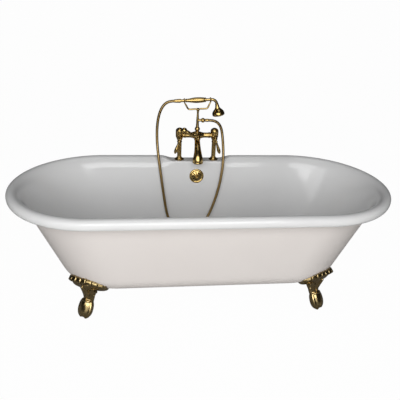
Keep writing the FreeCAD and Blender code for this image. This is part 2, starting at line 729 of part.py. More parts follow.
def deck_flange(place):
    base = place + Z_AXIS * DECK_WASHER
    edge = FLANGE_RADIUS
    neck = COLLAR_RADIUS + 3
    shape = turned(((0, edge), (2, edge), (3.5, edge - 2), (6, edge - 5.5), (9, neck + 0.8),
                    (FLANGE_HEIGHT, neck)), base, Z_AXIS)
    collar_hole = Part.makeCylinder(COLLAR_RADIUS + SHANK_GAP, 40, base - Z_AXIS * 10)
    shank_hole = Part.makeCylinder(SHANK_RADIUS + SHANK_GAP, SHANK_RISE - DECK_WASHER + SHANK_GAP, base)
    return shape.cut([collar_hole, shank_hole])


def riser(place):
    collar = DECK_WASHER + FLANGE_HEIGHT
    shape = turned(((-SHANK_LENGTH - SUPPLY_LENGTH, SUPPLY_RADIUS), (-SHANK_LENGTH, SUPPLY_RADIUS),
                    (-SHANK_LENGTH, SHANK_RADIUS), (SHANK_RISE, SHANK_RADIUS), (SHANK_RISE, COLLAR_RADIUS),
                    (collar + 6, COLLAR_RADIUS), (collar + 8.5, RISER_RADIUS),
                    (RISER_TOP, RISER_RADIUS)), place, Z_AXIS)
    return shape.cut(Part.makeCylinder(WATERWAY, 400, place - Z_AXIS * 200))


def deck_backing_washers():
    low = DECK_Z - DECK_THICK + SPOT_DEPTH - WASHER_THICK
    seats = [Vector(p.x, p.y, low) for p in tap_places()]
    return group([ring(LOCKNUT_FLATS * 0.575, SHANK_RADIUS + 0.4, WASHER_THICK, p, Z_AXIS) for p in seats])


def deck_locknuts():
    low = DECK_Z - DECK_THICK + SPOT_DEPTH - WASHER_THICK - LOCKNUT_HEIGHT
    return group([hexagon(LOCKNUT_FLATS, LOCKNUT_HEIGHT, SHANK_RADIUS + THREAD_GAP,
                          Vector(p.x, p.y, low), Z_AXIS) for p in tap_places()])


def bar_point(x):
    return Vector(x, DECK_Y, DECK_Z + BAR_HEIGHT)


def spout_axis():
    way = Vector(SPOUT_START)
    way.normalize()
    return way


def tap_body():
    middle = bar_point(0)
    pieces = [rod(bar_point(-TAP_X), bar_point(TAP_X), BAR_RADIUS), ball(middle, CENTRE_RADIUS)]
    cuts = []
    for place in tap_places():
        dome = Vector(place.x, DECK_Y, DECK_Z + DOME_HEIGHT)
        pieces.append(rod(place + Z_AXIS * (RISER_TOP - 7), dome, HOUSING_RADIUS))
        pieces.append(ball(dome, DOME_RADIUS))
        stem = stem_base(place.x)
        pieces.append(rod(stem + Y_AXIS * STEM_BOSS, stem, STEM_BOSS_RADIUS))
        cuts.append(rod(place, place + Z_AXIS * RISER_TOP, RISER_RADIUS + SOCKET_GAP))
        cuts.append(rod(stem + Y_AXIS * 10, stem, SPINDLE_RADIUS + 0.4))
    reach = SPOUT_START.Length
    pieces.append(Part.makeCone(CENTRE_RADIUS, SPOUT_ROOT_RADIUS, reach, middle, spout_axis()))
    neck = Vector(0, DECK_Y, DECK_Z + CRADLE_NUT_HEIGHT - CRADLE_NUT_RADIUS * NUT_CUT)
    pieces.append(rod(middle, neck, CRADLE_NUT_RADIUS * 0.62))
    front = stem_base(0)
    pieces.append(rod(middle, front, STEM_BOSS_RADIUS))
    cuts.append(rod(front + Y_AXIS * 10, front, SPINDLE_RADIUS + 0.4))
    return fuse(pieces).cut(cuts)


def stem_base(x):
    # Front face of a stem boss; the middle one is the diverter's.
    if x == 0:
        return bar_point(0) - Y_AXIS * (STEM_BOSS + 4)
    return bar_point(x) - Y_AXIS * STEM_BOSS - Z_AXIS * STEM_DROP


def bonnet(x):
    shape = turned(((0, STEM_BOSS_RADIUS + 1), (3, STEM_BOSS_RADIUS + 1), (5, STEM_BOSS_RADIUS - 2),
                    (9, STEM_BOSS_RADIUS - 3.5), (BONNET_LENGTH, STEM_BOSS_RADIUS - 3.5)),
                   stem_base(x), Y_AXIS * -1)
    return shape.cut(rod(stem_base(x), stem_base(x) - Y_AXIS * 40, SPINDLE_RADIUS + RUNNING_GAP))


def spindle(x):
    base = stem_base(x)
    return rod(base + Y_AXIS * 8, hub(x)[0] - Y_AXIS * 3, SPINDLE_RADIUS)


def hub(x):
    radius = HUB_RADIUS if x else DIVERTER_HUB
    centre = stem_base(x) - Y_AXIS * (BONNET_LENGTH + HUB_GAP + radius)
    return centre, rod(centre + Y_AXIS * 40, centre - Y_AXIS * 3, SPINDLE_RADIUS)


def tap_lever(x):
    centre, hole = hub(x)
    side = math.copysign(math.sin(LEVER_SPLAY), x)
    way = Vector(side, 0, -math.cos(LEVER_SPLAY))
    stations = ((4, 4.6), (12, 4.3), (21, 4.0), (36, 5.6), (49, 7.6), (57, 6.6), (64, 2.6), (66, 0.8))
    arm = turned([(LEVER_SCALE * a, r) for a, r in stations], centre, way, True)
    front = ball(centre - Y_AXIS * 7, HUB_RADIUS * 0.6)
    return fuse([ball(centre, HUB_RADIUS), arm, front]).cut(hole)


def diverter_lever():
    centre, hole = hub(0)
    way = Vector(-math.sin(DIVERTER_TILT), 0, math.cos(DIVERTER_TILT))
    knob = [(KNOB_OUT + along, radius) for along, radius in bead(KNOB_RADIUS, -0.72, 0.995)]
    arm = turned([(6, 5.2), (20, 5.2), (38, 7.0), (54, 8.6)] + knob, centre, way, True)
    return fuse([ball(centre, DIVERTER_HUB), arm]).cut(hole)


def spout():
    start = bar_point(0) + SPOUT_START
    mouth = Vector(0, DECK_Y + SPOUT_MOUTH_Y, DECK_Z + SPOUT_MOUTH_Z)
    way = spout_axis()
    controls = ((start.y, start.z), (start.y + way.y * 44, start.z + way.z * 44),
                (mouth.y, mouth.z + 52), (mouth.y, mouth.z))
    count = 8
    wires = []
    for k in range(count + 1):
        t = k / count
        y, z = bezier(controls, t)
        ahead = bezier(controls, min(1, t + 0.01))
        behind = bezier(controls, max(0, t - 0.01))
        along = Vector(0, ahead[0] - behind[0], ahead[1] - behind[1])
        flare = 0.45 * t + 0.55 * t ** 5
        radius = SPOUT_ROOT_RADIUS + (SPOUT_BELL_RADIUS - SPOUT_ROOT_RADIUS) * flare
        wires.append(Part.Wire([Part.Circle(Vector(0, y, z), along, radius).toShape()]))
    bell = Part.makeLoft(wires, True)
    stations = ((0, SPOUT_BELL_RADIUS - 2.5), (8, SPOUT_BELL_RADIUS - 6), (26, SPOUT_ROOT_RADIUS - 2))
    mouth_cut = turned(stations, mouth, Z_AXIS)
    return bell.cut(mouth_cut)


# Cradle

def deck_point(x, height):
    return Vector(x, DECK_Y, DECK_Z + height)


def cradle_nut():
    centre = deck_point(0, CRADLE_NUT_HEIGHT)
    shape = turned(bead(CRADLE_NUT_RADIUS, -NUT_CUT, NUT_CUT), centre, Z_AXIS, True)
    return shape.cut(rod(centre, centre + Z_AXIS * 40, WATERWAY))


def cradle_column():
    foot_z = CRADLE_NUT_HEIGHT + CRADLE_NUT_RADIUS * NUT_CUT
    top = FORK_HEIGHT - FORK_ROD
    post = turned(((foot_z, 8.2), (foot_z + 12, 7.4), (OUTLET_HEIGHT, 6.9), (OUTLET_HEIGHT + 24, 5.6),
                   (top - 14, 5.2), (top - 6, 6.4), (top, 8.8)), deck_point(0, 0), Z_AXIS, True)
    spigot = rod(deck_point(0, CRADLE_NUT_HEIGHT), deck_point(0, foot_z + 1), WATERWAY - SOCKET_GAP)
    arm = rod(deck_point(0, OUTLET_HEIGHT), deck_point(OUTLET_REACH, OUTLET_HEIGHT), 6.5)
    shape = fuse([post, spigot, arm])
    return shape.cut(rod(deck_point(0, FORK_HEIGHT), deck_point(0, FORK_HEIGHT - 20), FORK_SPIGOT))


def handset_place(along):
    tilt = math.radians(HANDSET_TILT)
    return Vector(along * math.cos(tilt), DECK_Y, DECK_Z + HANDSET_HEIGHT + along * math.sin(tilt))


def handset_axis():
    way = handset_place(1) - handset_place(0)
    way.normalize()
    return way


def handset_up():
    return handset_axis().cross(Y_AXIS)


def saddle(along):
    # A half ring under the handset tube with two upright prongs, open at the top.
    centre = handset_place(along)
    reach = HANDSET_TUBE + SADDLE_GAP + SADDLE_ROD
    start = centre + Y_AXIS * reach
    disc = Part.Face(Part.Wire([Part.Circle(start, handset_up(), SADDLE_ROD).toShape()]))
    pieces = [disc.revolve(centre, handset_axis(), -180)]
    for side in (reach, -reach):
        low = centre + Y_AXIS * side
        high = low + handset_up() * SADDLE_PRONG
        pieces += [rod(low, high, SADDLE_ROD), ball(high, SADDLE_ROD)]
    return pieces, centre - handset_up() * reach


def cradle_fork():
    rise = math.tan(math.radians(HANDSET_TILT))
    left = deck_point(FORK_LEFT, FORK_HEIGHT + FORK_LEFT * rise)
    right = deck_point(FORK_RIGHT, FORK_HEIGHT + FORK_RIGHT * rise)
    middle = deck_point(0, FORK_HEIGHT)
    pieces = [rod(left, right, FORK_ROD), ball(left, FORK_ROD), ball(right, FORK_ROD)]
    for corner, along in ((left, SADDLE_LEFT), (right, SADDLE_RIGHT)):
        ring_pieces, low = saddle(along)
        pieces += ring_pieces
        pieces.append(rod(corner, low, FORK_ROD))
    pieces.append(rod(middle, middle - Z_AXIS * 20, FORK_SPIGOT))
    pieces.append(rod(middle, middle - Z_AXIS * FORK_ROD, 8.0))
    return pieces[0].fuse(pieces[1:])


def outlet_nut():
    start = (OUTLET_REACH - OUTLET_NUT_X) / OUTLET_NUT_RADIUS
    end = (FERRULE_START - OUTLET_NUT_X) / OUTLET_NUT_RADIUS
    return turned(bead(OUTLET_NUT_RADIUS, start, end), deck_point(OUTLET_NUT_X, OUTLET_HEIGHT), X_AXIS, True)


def hose_ferrule():
    start = deck_point(FERRULE_START, OUTLET_HEIGHT)
    end = FERRULE_END - FERRULE_START
    return turned(((0, 5.0), (2, 7.6), (end - 3, 7.9), (end, HOSE_RADIUS + 0.4)), start, X_AXIS)


# Hose

def hose_points():
    start = deck_point(FERRULE_END, OUTLET_HEIGHT)
    end = handset_place(CONE_START - SOCKET_GAP)
    return [start] + [Vector(x, y, DECK_Z + z) for x, y, z in HOSE_ROUTE] + [end]


def rounded_path(points):
    # Straight runs joined by arcs that touch both runs.
    edges = []
    least = None
    previous = points[0]
    for a, b, c in zip(points, points[1:], points[2:]):
        into = b - a
        away = c - b
        cut = 0.45 * min(into.Length, away.Length)
        turn = into.getAngle(away)
        radius = cut / math.tan(turn / 2)
        least = radius if least is None else min(least, radius)
        into.normalize()
        away.normalize()
        first = b - into * cut
        last = b + away * cut
        inward = away - into
        inward.normalize()
        centre = b + inward * (radius / math.cos(turn / 2))
        nearest = centre - inward * radius
        edges.append(Part.makeLine(previous, first))
        edges.append(Part.Arc(first, nearest, last).toShape())
        previous = last
    edges.append(Part.makeLine(previous, points[-1]))
    return Part.Wire(edges), least


def shower_hose():
    points = hose_points()
    path, least = rounded_path(points)
    print("hose radius", HOSE_RADIUS, "length", round(path.Length, 1), "least bend radius", round(least, 1))
    section = Part.Wire([Part.Circle(points[0], points[1] - points[0], HOSE_RADIUS).toShape()])
    shape = path.makePipeShell([section], True, False)
    print("hose volume ratio", round(shape.Volume / (math.pi * HOSE_RADIUS ** 2 * path.Length), 4))
    return shape


# Handset

def hose_cone():
    return turned(((0, HOSE_RADIUS + 0.4), (4, HOSE_RADIUS + 1.2), (CONE_END - CONE_START - 6, 9.6),
                   (CONE_END - CONE_START, 9.6)), handset_place(CONE_START), handset_axis())


def handset_tail():
    start = handset_place(CONE_END)
    collar = turned(((0, 8.6), (3, 8.6), (4.5, HANDSET_TUBE)), start, handset_axis())
    return fuse([collar, rod(start, handset_place(GRIP_START), HANDSET_TUBE)])


def handset_grip():
    length = GRIP_END - GRIP_START
    bulge = ((0, 8.2), (0.04, 9.2), (0.12, 9.6), (0.3, 13.2), (0.5, 14.7), (0.7, 13.2), (0.88, 9.6),
             (0.96, 9.2), (1, 8.2))
    return turned([(length * t, r) for t, r in bulge], handset_place(GRIP_START), handset_axis(), True)


def elbow_end():
    # Where the bent neck meets the head, and the way the head points.
    bend = handset_place(NECK_END)
    pivot = bend - handset_up() * ELBOW_RADIUS
    turn = FreeCAD.Rotation(Y_AXIS, ELBOW_TURN)
    return pivot, pivot + turn.multVec(bend - pivot), turn.multVec(handset_axis())


def handset_neck():
    start, bend = handset_place(GRIP_END), handset_place(NECK_END)
    pivot, end, way = elbow_end()
    disc = Part.Face(Part.Wire([Part.Circle(bend, handset_axis(), HANDSET_TUBE).toShape()]))
    return fuse([rod(start, bend, HANDSET_TUBE), disc.revolve(pivot, Y_AXIS, ELBOW_TURN)])


def shower_head():
    pivot, end, way = elbow_end()
    lip_start = HEAD_LENGTH - 4
    stations = ((0, 7.6), (14, 8.6), (27, 11.6), (36, 16), (43, 23), (50, 28.3), (lip_start, HEAD_RADIUS))
    bell = turned(stations, end, way, True)
    lip = rod(end + way * lip_start, end + way * HEAD_LENGTH, HEAD_RADIUS)
    recess = rod(end + way * (HEAD_LENGTH - 6), end + way * HEAD_LENGTH, SPRAY_RADIUS + SOCKET_GAP)
    return bell.fuse(lip).cut(recess)


def spray_plate():
    pivot, end, way = elbow_end()
    base = end + way * (HEAD_LENGTH - 6)
    plate = Part.makeCylinder(SPRAY_RADIUS, 4, base, way)
    holes = []
    for radius, count in ((8, SPRAY_HOLES // 2), (15, SPRAY_HOLES), (22, SPRAY_HOLES)):
        for k in range(count):
            turn = 2 * math.pi * k / count
            pin = Part.makeCylinder(1.1, 2, Vector(radius * math.cos(turn), radius * math.sin(turn), 2.5))
            holes.append(placed(pin, base, way))
    return plate.cut(holes)


def build():
    feet = mirrored(foot())
    left, right = tap_places()
    return {
        "tub": tub(),
        "foot_front_left": feet[0],
        "foot_front_right": feet[1],
        "foot_rear_left": feet[2],
        "foot_rear_right": feet[3],
        "foot_studs": foot_studs(),
        "foot_washers": foot_washers(),
        "foot_nuts": foot_nuts(),
        "overflow_plate": overflow_plate(),
        "overflow_screw": overflow_screw(),
        "overflow_gasket": overflow_gasket(),
        "overflow_elbow": overflow_elbow(),
        "overflow_tube": overflow_tube(),
        "slip_nuts": slip_nuts(),
        "waste_tee": waste_tee(),
        "waste_pipe": waste_pipe(),
        "waste_tail": waste_tail(),
        "drain_shoe": drain_shoe(),
        "drain_gasket": drain_gasket(),
        "drain_flange": drain_flange(),
        "drain_stopper": drain_stopper(),
        "deck_washers": deck_washers(),
        "deck_flange_left": deck_flange(left),
        "deck_flange_right": deck_flange(right),
        "riser_left": riser(left),
        "riser_right": riser(right),
        "deck_backing_washers": deck_backing_washers(),
        "deck_locknuts": deck_locknuts(),
        "tap_body": tap_body(),
        "bonnet_left": bonnet(-TAP_X),
        "bonnet_right": bonnet(TAP_X),
        "spindle_left": spindle(-TAP_X),
        "spindle_right": spindle(TAP_X),
        "lever_left": tap_lever(-TAP_X),
        "lever_right": tap_lever(TAP_X),
        "diverter_bonnet": bonnet(0),
        "diverter_spindle": spindle(0),
        "diverter_lever": diverter_lever(),
        "spout": spout(),
        "cradle_nut": cradle_nut(),
        "cradle_column": cradle_column(),
        "cradle_fork": cradle_fork(),
        "outlet_nut": outlet_nut(),
        "hose_ferrule": hose_ferrule(),
        "shower_hose": shower_hose(),
        "hose_cone": hose_cone(),
        "handset_tail": handset_tail(),
        "handset_grip": handset_grip(),
        "handset_neck": handset_neck(),
        "shower_head": shower_head(),
        "spray_plate": spray_plate(),
    }


def main():
    os.makedirs("parts", exist_ok=True)
    for node, shape in build().items():
        shape.exportStep(os.path.join("parts", node + ".step"))


main()
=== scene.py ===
import json
from math import atan2, copysign, cos, exp, pi, radians, sin, tan

import bpy
from mathutils import Matrix, Vector


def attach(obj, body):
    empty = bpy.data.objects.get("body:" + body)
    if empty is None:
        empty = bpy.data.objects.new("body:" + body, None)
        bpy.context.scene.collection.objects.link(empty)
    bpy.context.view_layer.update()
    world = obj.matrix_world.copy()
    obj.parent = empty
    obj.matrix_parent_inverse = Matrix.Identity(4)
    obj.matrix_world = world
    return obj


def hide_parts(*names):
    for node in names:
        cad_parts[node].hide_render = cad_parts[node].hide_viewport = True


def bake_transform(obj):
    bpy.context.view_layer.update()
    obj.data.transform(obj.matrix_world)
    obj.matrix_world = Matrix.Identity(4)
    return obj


# Enamelled bathtub on claw feet with deck taps and a hand shower.
# Metres, in the frame of the solids: X along the tub, Y to the taps, Z up.

# Tub
TUB_LENGTH = 1.702
TUB_WIDTH = 0.762
RIM_HEIGHT = 0.560
BOTTOM_HEIGHT = 0.138
WALL = 0.0065
SIDE_SLOPE = radians(9.0)
END_SLOPE = radians(23.5)
CORNER_RADIUS = 0.095
RIM_WIDTH = 0.070
RIM_DEPTH = 0.052
CREST_INSET = 0.024
ROLL_DEPTH = 0.022
LIP_INSET = 0.0065
LIP_DEPTH = 0.041
RIM_HANDLE = 0.024
CORNER_STEPS = 18
WALL_STEPS = 16
ROLL_POINTS = 26
LIP_POINTS = 10
SIDE_COUNT = 132
END_COUNT = 72
ENAMEL_POINTS = CORNER_STEPS + 1 + WALL_STEPS + ROLL_POINTS + LIP_POINTS

# Curves of the rim's section, how far their handles reach
CREST_IN = 0.022
CREST_OUT = 0.013
ROLL_DOWN = 0.009
ROOF_SHIFT = 0.001
ROOF_IN = 0.020
ROOF_OUT = 0.009
HOLLOW_UP = 0.008
HOLLOW_RISE = 0.011
LIP_TURN = 0.003
LIP_PULL = 0.004
LIP_NOSE = 0.0025
LIP_UNDER = 0.001
LIP_BACK = 0.007

# Deck for the taps
DECK_DEPTH = 0.018
DECK_INSET = 0.034
DECK_HALF = 0.118
DECK_RAMP = 0.065
DECK_THICK = 0.008
DECK_FRONT = 0.0595
DECK_BACK = 0.006
DECK_HOLE = 0.0143
DECK_KNEE = 0.0044
DECK_ROUND = 0.006
DECK_SKIRT = 0.010
DECK_HOLLOW = 0.003
DECK_RISE = 0.007
KNEE_OUT = 0.0006
FRONT_IN = 0.004
ROUND_OUT = 0.002
SKIRT_DOWN = 0.005
TAP_X = 0.0889

# Holes and bosses in the tub
OVERFLOW_DEPTH = 0.094
OVERFLOW_HOLE = 0.0245
DRAIN_Y = 0.095
DRAIN_HOLE = 0.026
BOSS_RADIUS = 0.018
BOSS_HEIGHT = 0.006
BOSS_SINK = 0.001
HOLE_REACH = 0.02
HOLE_SIDES = 64
TAP_HOLE_REACH = 0.03
STUD_REACH = 0.140

# Waste set under the tub
WASTE_SET = ("overflow_elbow", "overflow_tube", "slip_nuts", "waste_tee", "waste_pipe", "waste_tail",
             "drain_shoe")

# Overflow plate, heights above its seat on the wall
PLATE_SINK = 0.0004
PLATE_SIZES = ((0.0, 0.0370), (0.0025, 0.0370), (0.0050, 0.0356), (0.0064, 0.0330), (0.0066, 0.0306),
               (0.0058, 0.0284), (0.0046, 0.0264), (0.0058, 0.0210), (0.0072, 0.0150), (0.0080, 0.0098),
               (0.0074, 0.0080), (0.0040, 0.0070))
PLATE_BACK = ((0.0010, 0.0005), (0.0010, 0.0074), (0.0058, 0.0092), (0.0042, 0.0210), (0.0028, 0.0264),
              (0.0, 0.0285))
PLATE_MIDDLE = (0.0034, 0.0005)
PLATE_SLOTS = 9
SLOT_START = 0.0104
SLOT_END = 0.0244
SLOT_WIDTH = 0.0062
SLOT_CUT = (0.012, -0.005)
SLOT_SIDES = 24

# Feet
FOOT_X = 0.533
FOOT_Y = 0.208
FOOT_GAP = 0.001
FOOT_VOXEL = 0.0013
BRACKET_OUTER = -0.085
BRACKET_INNER = 0.100
BRACKET_SPAN = 0.250
BRACKET_THICK = 0.0200
BRACKET_TOPS = ((-0.085, 0.187), (-0.065, 0.201), (-0.045, 0.210), (-0.022, 0.222), (-0.005, 0.224),
                (0.017, 0.219), (0.039, 0.215), (0.063, 0.208), (0.088, 0.195), (0.100, 0.187))
BEAD_STEP = 0.0225
BEAD_NOTCH = 0.60
BEAD_SHARP = 0.20
BEAD_RISE = 0.66
BELLY_TOP = 0.32
LIP_START = 0.76
LIP_SPAN = 0.22
COVE_SHARE = 0.26
BRACKET_EDGE = 0.0012
BRACKET_TAPER = 0.45
BRACKET_LOW = 0.10
BRACKET_LOW_INNER = 0.25
BRACKET_LOW_OUTER = 0.45
BRACKET_STEPS = 160
BRACKET_ROWS = 48
WING_BALL = 0.0120
WING_PLACE = (-0.92, 0.55, 0.0100)

# Leg of a foot: height, shift inwards, half width along the tub and half depth
LEG_STATIONS = ((0.176, -0.020, 0.048, 0.034), (0.148, -0.030, 0.041, 0.034), (0.126, -0.037, 0.034, 0.032),
                (0.106, -0.038, 0.0285, 0.028), (0.088, -0.031, 0.0248, 0.0240),
                (0.070, -0.020, 0.0265, 0.0240), (0.056, -0.011, 0.0260, 0.0220))
LEG_SIDES = 48
LEG_CLEAR = 0.002

# Leaves on the knee: turn round the leg, height of the tip, lean and half width
LEAVES = ((0.0, 0.160, 0.0, 0.0100), (0.80, 0.146, 0.30, 0.0085), (-0.80, 0.146, -0.30, 0.0085))
LEAF_FOOT = 0.086
LEAF_CURL = 0.006
LEAF_SINK = 0.003

# Scrolls beside the knee
SCROLL_HEIGHT = 0.112
SCROLL_TURN = 1.15
SCROLL_REACH = 0.0165
SCROLL_CLOSE = 0.80
SCROLL_ANGLE = 3.2 * pi
SCROLL_STEPS = 48
SCROLL_ROD = 0.0046
SCROLL_THIN = 0.0012
SCROLL_LIFT = 0.0015
SCROLL_BALL = 0.0042
SCROLL_BALL_LIFT = 0.0025
KNEE_HALF = 0.031

# Paw and tongue of a foot
PAW_OUT = -0.002
PAW_HEIGHT = 0.0455
PAW_LEAN = 0.50
PAW_FULL = 2.6
PAW_SIDES = 40
PAW_HALF_LENGTH = 0.0445
PAW_HALF_WIDTH = 0.0288
PAW_HALF_DEPTH = 0.0232
TOE_RADIUS = 0.0108
TOE_SINK = 0.0034
TOE_TURNS = tuple(radians(turn) for turn in (-95, -48, 0, 48, 95))
TONGUE_THICK = 0.011
TOE_START = -0.72
TOE_RUN = 1.66
TOE_STEPS = 11
CUFF_ROD = 0.0042
TONGUE_WIDTH = 0.044
TONGUE_SHORT = 0.033
TONGUE_GAP = 0.0005

# Taps, heights above the deck
BAR_HEIGHT = 0.131
BAR_RADIUS = 0.0130
BARREL_RADIUS = 0.0196
BARREL_LOW = 0.105
BARREL_TOP = 0.169
STEM_BOSS = 0.022
STEM_DROP = 0.006
STEM_RADIUS = 0.0115
CENTRE_RADIUS = 0.0215
RISER_RADIUS = 0.0110
RISER_LOW = ((-0.052, 0.0005), (-0.052, 0.0065), (-0.064, 0.0065), (-0.064, 0.01048), (-0.034, 0.01048),
             (-0.034, 0.0132), (0.007, 0.0132), (0.007, 0.0117), (0.0175, 0.0117), (0.019, 0.0113),
             (0.0205, RISER_RADIUS), (0.094, RISER_RADIUS))
RISER_TOP = ((0.101, RISER_RADIUS), (0.108, RISER_RADIUS), (0.108, 0.0005))
RISER_BEAD = 0.0975
RISER_BEAD_HALF = 0.0028
RISER_BEAD_OUT = 0.0020
SPOUT_START = Vector((0.0, -0.016, -0.021))
SPOUT_MOUTH = Vector((0.0, -0.076, 0.008))
SPOUT_ROOT = 0.0135
SPOUT_BELL = 0.0258
SPOUT_SIZES = ((0.0, SPOUT_ROOT), (0.30, 0.0152), (0.55, 0.0182), (0.72, 0.0216), (0.85, 0.0252),
               (0.92, 0.0264), (0.955, 0.0256), (0.975, 0.0270), (1.0, SPOUT_BELL))
SPOUT_INSIDE = ((0.0, SPOUT_BELL - 0.0022), (-0.008, SPOUT_BELL - 0.0055), (-0.026, 0.0115),
                (-0.027, 0.0020))
SPOUT_OUT = 0.044
SPOUT_DOWN = 0.052
BARREL_SIZES = ((BARREL_LOW, 0.0112), (BARREL_LOW + 0.004, 0.0138), (BARREL_LOW + 0.011, 0.0162),
                (BARREL_LOW + 0.020, BARREL_RADIUS), (BARREL_TOP - 0.019, BARREL_RADIUS + 0.0007),
                (BARREL_TOP - 0.010, BARREL_RADIUS - 0.0008), (BARREL_TOP - 0.005, 0.0142),
                (BARREL_TOP - 0.0015, 0.0085), (BARREL_TOP, 0.0030))
BOSS_SIZES = ((0.0, STEM_RADIUS), (STEM_BOSS - 0.003, STEM_RADIUS),
              (STEM_BOSS - 0.0015, STEM_RADIUS + 0.001), (STEM_BOSS, STEM_RADIUS + 0.001))
RING_SIZES = ((-0.004, 0.011), (-0.002, BAR_RADIUS + 0.0022), (0.002, BAR_RADIUS + 0.0022), (0.004, 0.011))
RING_INSET = 0.027
FLANK_SIZES = ((0.0, CENTRE_RADIUS - 0.001), (0.012, 0.0188), (0.023, 0.0155), (0.034, BAR_RADIUS))
NECK_SIZES = ((0.0, CENTRE_RADIUS - 0.001), (0.012, 0.0160), (0.0205, 0.0092), (0.0214, 0.0085))
ROOT_SIZES = ((0.0, CENTRE_RADIUS), (0.014, 0.0170), (0.021, 0.0142), (0.0225, 0.0158), (0.0260, 0.0158),
              (0.0264, SPOUT_ROOT))
FRONT_SIZES = ((0.0, STEM_RADIUS + 0.004), (0.016, STEM_RADIUS + 0.001), (STEM_BOSS + 0.004, STEM_RADIUS))
HUB_RADIUS = 0.0108
HUB_FORWARD = 0.044
LEVER_SPLAY = radians(18.0)
LEVER_SIZES = ((0.003, 0.0060), (0.013, 0.0056), (0.0155, 0.0070), (0.019, 0.0070), (0.022, 0.0052),
               (0.030, 0.0052), (0.046, 0.0070), (0.062, 0.0090), (0.073, 0.0080), (0.081, 0.0042),
               (0.084, 0.0012))
BUTTON_RADIUS = 0.0060
BUTTON_FORWARD = 0.008
DIVERTER_HUB = 0.0125
DIVERTER_FORWARD = 0.050
DIVERTER_TILT = radians(62.0)
DIVERTER_SIZES = ((0.006, 0.0062), (0.020, 0.0060), (0.038, 0.0078), (0.056, 0.0096), (0.066, 0.0100))
DIVERTER_BUTTON = 0.0068
DIVERTER_BUTTON_FORWARD = 0.009
KNOB_RADIUS = 0.0150
KNOB_REACH = 0.079
CAST_VOXEL = 0.0007
FORK_VOXEL = 0.0006

# Hand shower
HANDSET_HEIGHT = 0.3093
HANDSET_TILT = radians(3.2)
GRIP_START = -0.062
GRIP_END = 0.038
GRIP_SIZES = ((0.0, 0.0078), (0.02, 0.0090), (0.05, 0.0090), (0.07, 0.0082), (0.22, 0.0101), (0.42, 0.0131),
              (0.58, 0.0138), (0.76, 0.0131), (0.90, 0.0116), (0.945, 0.0106), (0.96, 0.0114),
              (0.985, 0.0114), (1.0, 0.0082))
NECK_END = 0.066
NECK_BEND = 0.026
NECK_TURN = radians(81.0)
HEAD_SIZES = ((0.0, 0.0085), (0.010, 0.0096), (0.019, 0.0118), (0.026, 0.0158), (0.032, 0.0215),
              (0.038, 0.0266), (0.044, 0.0296), (0.050, 0.0309), (0.0545, 0.0306), (0.0572, 0.0298),
              (0.058, 0.0285), (0.0555, 0.0275), (0.0550, 0.0100))
FORK_HEIGHT = 0.265
FORK_ROD = 0.0042
FORK_LEFT = -0.048
FORK_RIGHT = 0.046
FORK_LEGS = (0.45, 0.86)
FORK_BASE = (0.06, 0.3, 0.7, 0.94)
SPIGOT_SIZES = ((-0.020, 0.0030), (-0.0037, 0.0030), (-0.0036, 0.0080), (0.0, 0.0076), (0.0042, 0.0052),
                (0.0046, 0.0020))
SADDLE_LEFT = -0.0685
SADDLE_RIGHT = 0.0615
SADDLE_ROD = 0.0030
SADDLE_REACH = 0.0104
SADDLE_PRONG = 0.006
PRONG_BALL = 1.25

# Hose centre line, heights above the deck, from the outlet to the hand shower
HOSE_RADIUS = 0.007
HOSE_PITCH = 0.0036
HOSE_RIDGE = 0.0003
HOSE_STEPS = 6
HOSE_SIDES = 20
HOSE_ROUTE = (
    (0.055, 0.347, 0.208),
    (0.080, 0.347, 0.208), (0.106, 0.347, 0.195), (0.123, 0.346, 0.168), (0.131, 0.341, 0.125),
    (0.136, 0.325, 0.065), (0.136, 0.303, 0.005), (0.129, 0.290, -0.065), (0.115, 0.279, -0.140),
    (0.093, 0.267, -0.215), (0.062, 0.252, -0.290), (0.018, 0.229, -0.344), (-0.046, 0.213, -0.362),
    (-0.110, 0.229, -0.346), (-0.150, 0.252, -0.290), (-0.164, 0.267, -0.215), (-0.175, 0.279, -0.140),
    (-0.185, 0.290, -0.065), (-0.194, 0.303, 0.005), (-0.201, 0.325, 0.065), (-0.204, 0.340, 0.120),
    (-0.203, 0.346, 0.172), (-0.197, 0.347, 0.220), (-0.185, 0.347, 0.259), (-0.167, 0.347, 0.287),
    (-0.143, 0.347, 0.3013), (-0.11981, 0.347, 0.30260),
)

# Camera, its focal length in widths of the picture
CAMERA_TARGET = Vector((-0.0149, 0.0, 0.4686))
CAMERA_DISTANCE = 2.0984
CAMERA_AZIMUTH = radians(-7.25)
CAMERA_ELEVATION = radians(24.68)
CAMERA_ROLL = radians(2.44)
CAMERA_SENSOR = 36.0
CAMERA_FOCAL = 456.7 / 400

# Light: each lamp's place, size and power
LAMPS = (("key", (-0.1, -2.9, 1.9), (2.6, 2.2), 64.0),
         ("fill", (-1.9, -2.4, 1.9), (1.6, 1.6), 17.0),
         ("low", (-0.1, -3.0, 0.7), (2.6, 1.2), 10.0))
LAMP_AIM = Vector((0, 0, 0.4))
WORLD_LIGHT = 0.12
FLOOR_HALF = 400.0
FLOOR_WHITE = 0.98

# Cloths that only show in gloss: rings of a radius and a height, and a shade
CLOTHS = (("grey_cloth", ((0.02, 0.004), (2.6, 0.004)), 0.20),
          ("dark_cloth", ((2.6, 0.004), (7.0, 0.004), (7.0, 6.5), (2.2, 7.5)), 0.12))
CLOTH_SIDES = 96

# Edges sharper than this show as edges
SHARP_ANGLE = radians(40)

UP = Vector((0, 0, 1))
HANDSET_LIFT = Vector((-sin(HANDSET_TILT), 0, cos(HANDSET_TILT)))
DECK_Z = RIM_HEIGHT - DECK_DEPTH
DECK_Y = TUB_WIDTH / 2 - DECK_INSET
FLOOR_Z = BOTTOM_HEIGHT + WALL

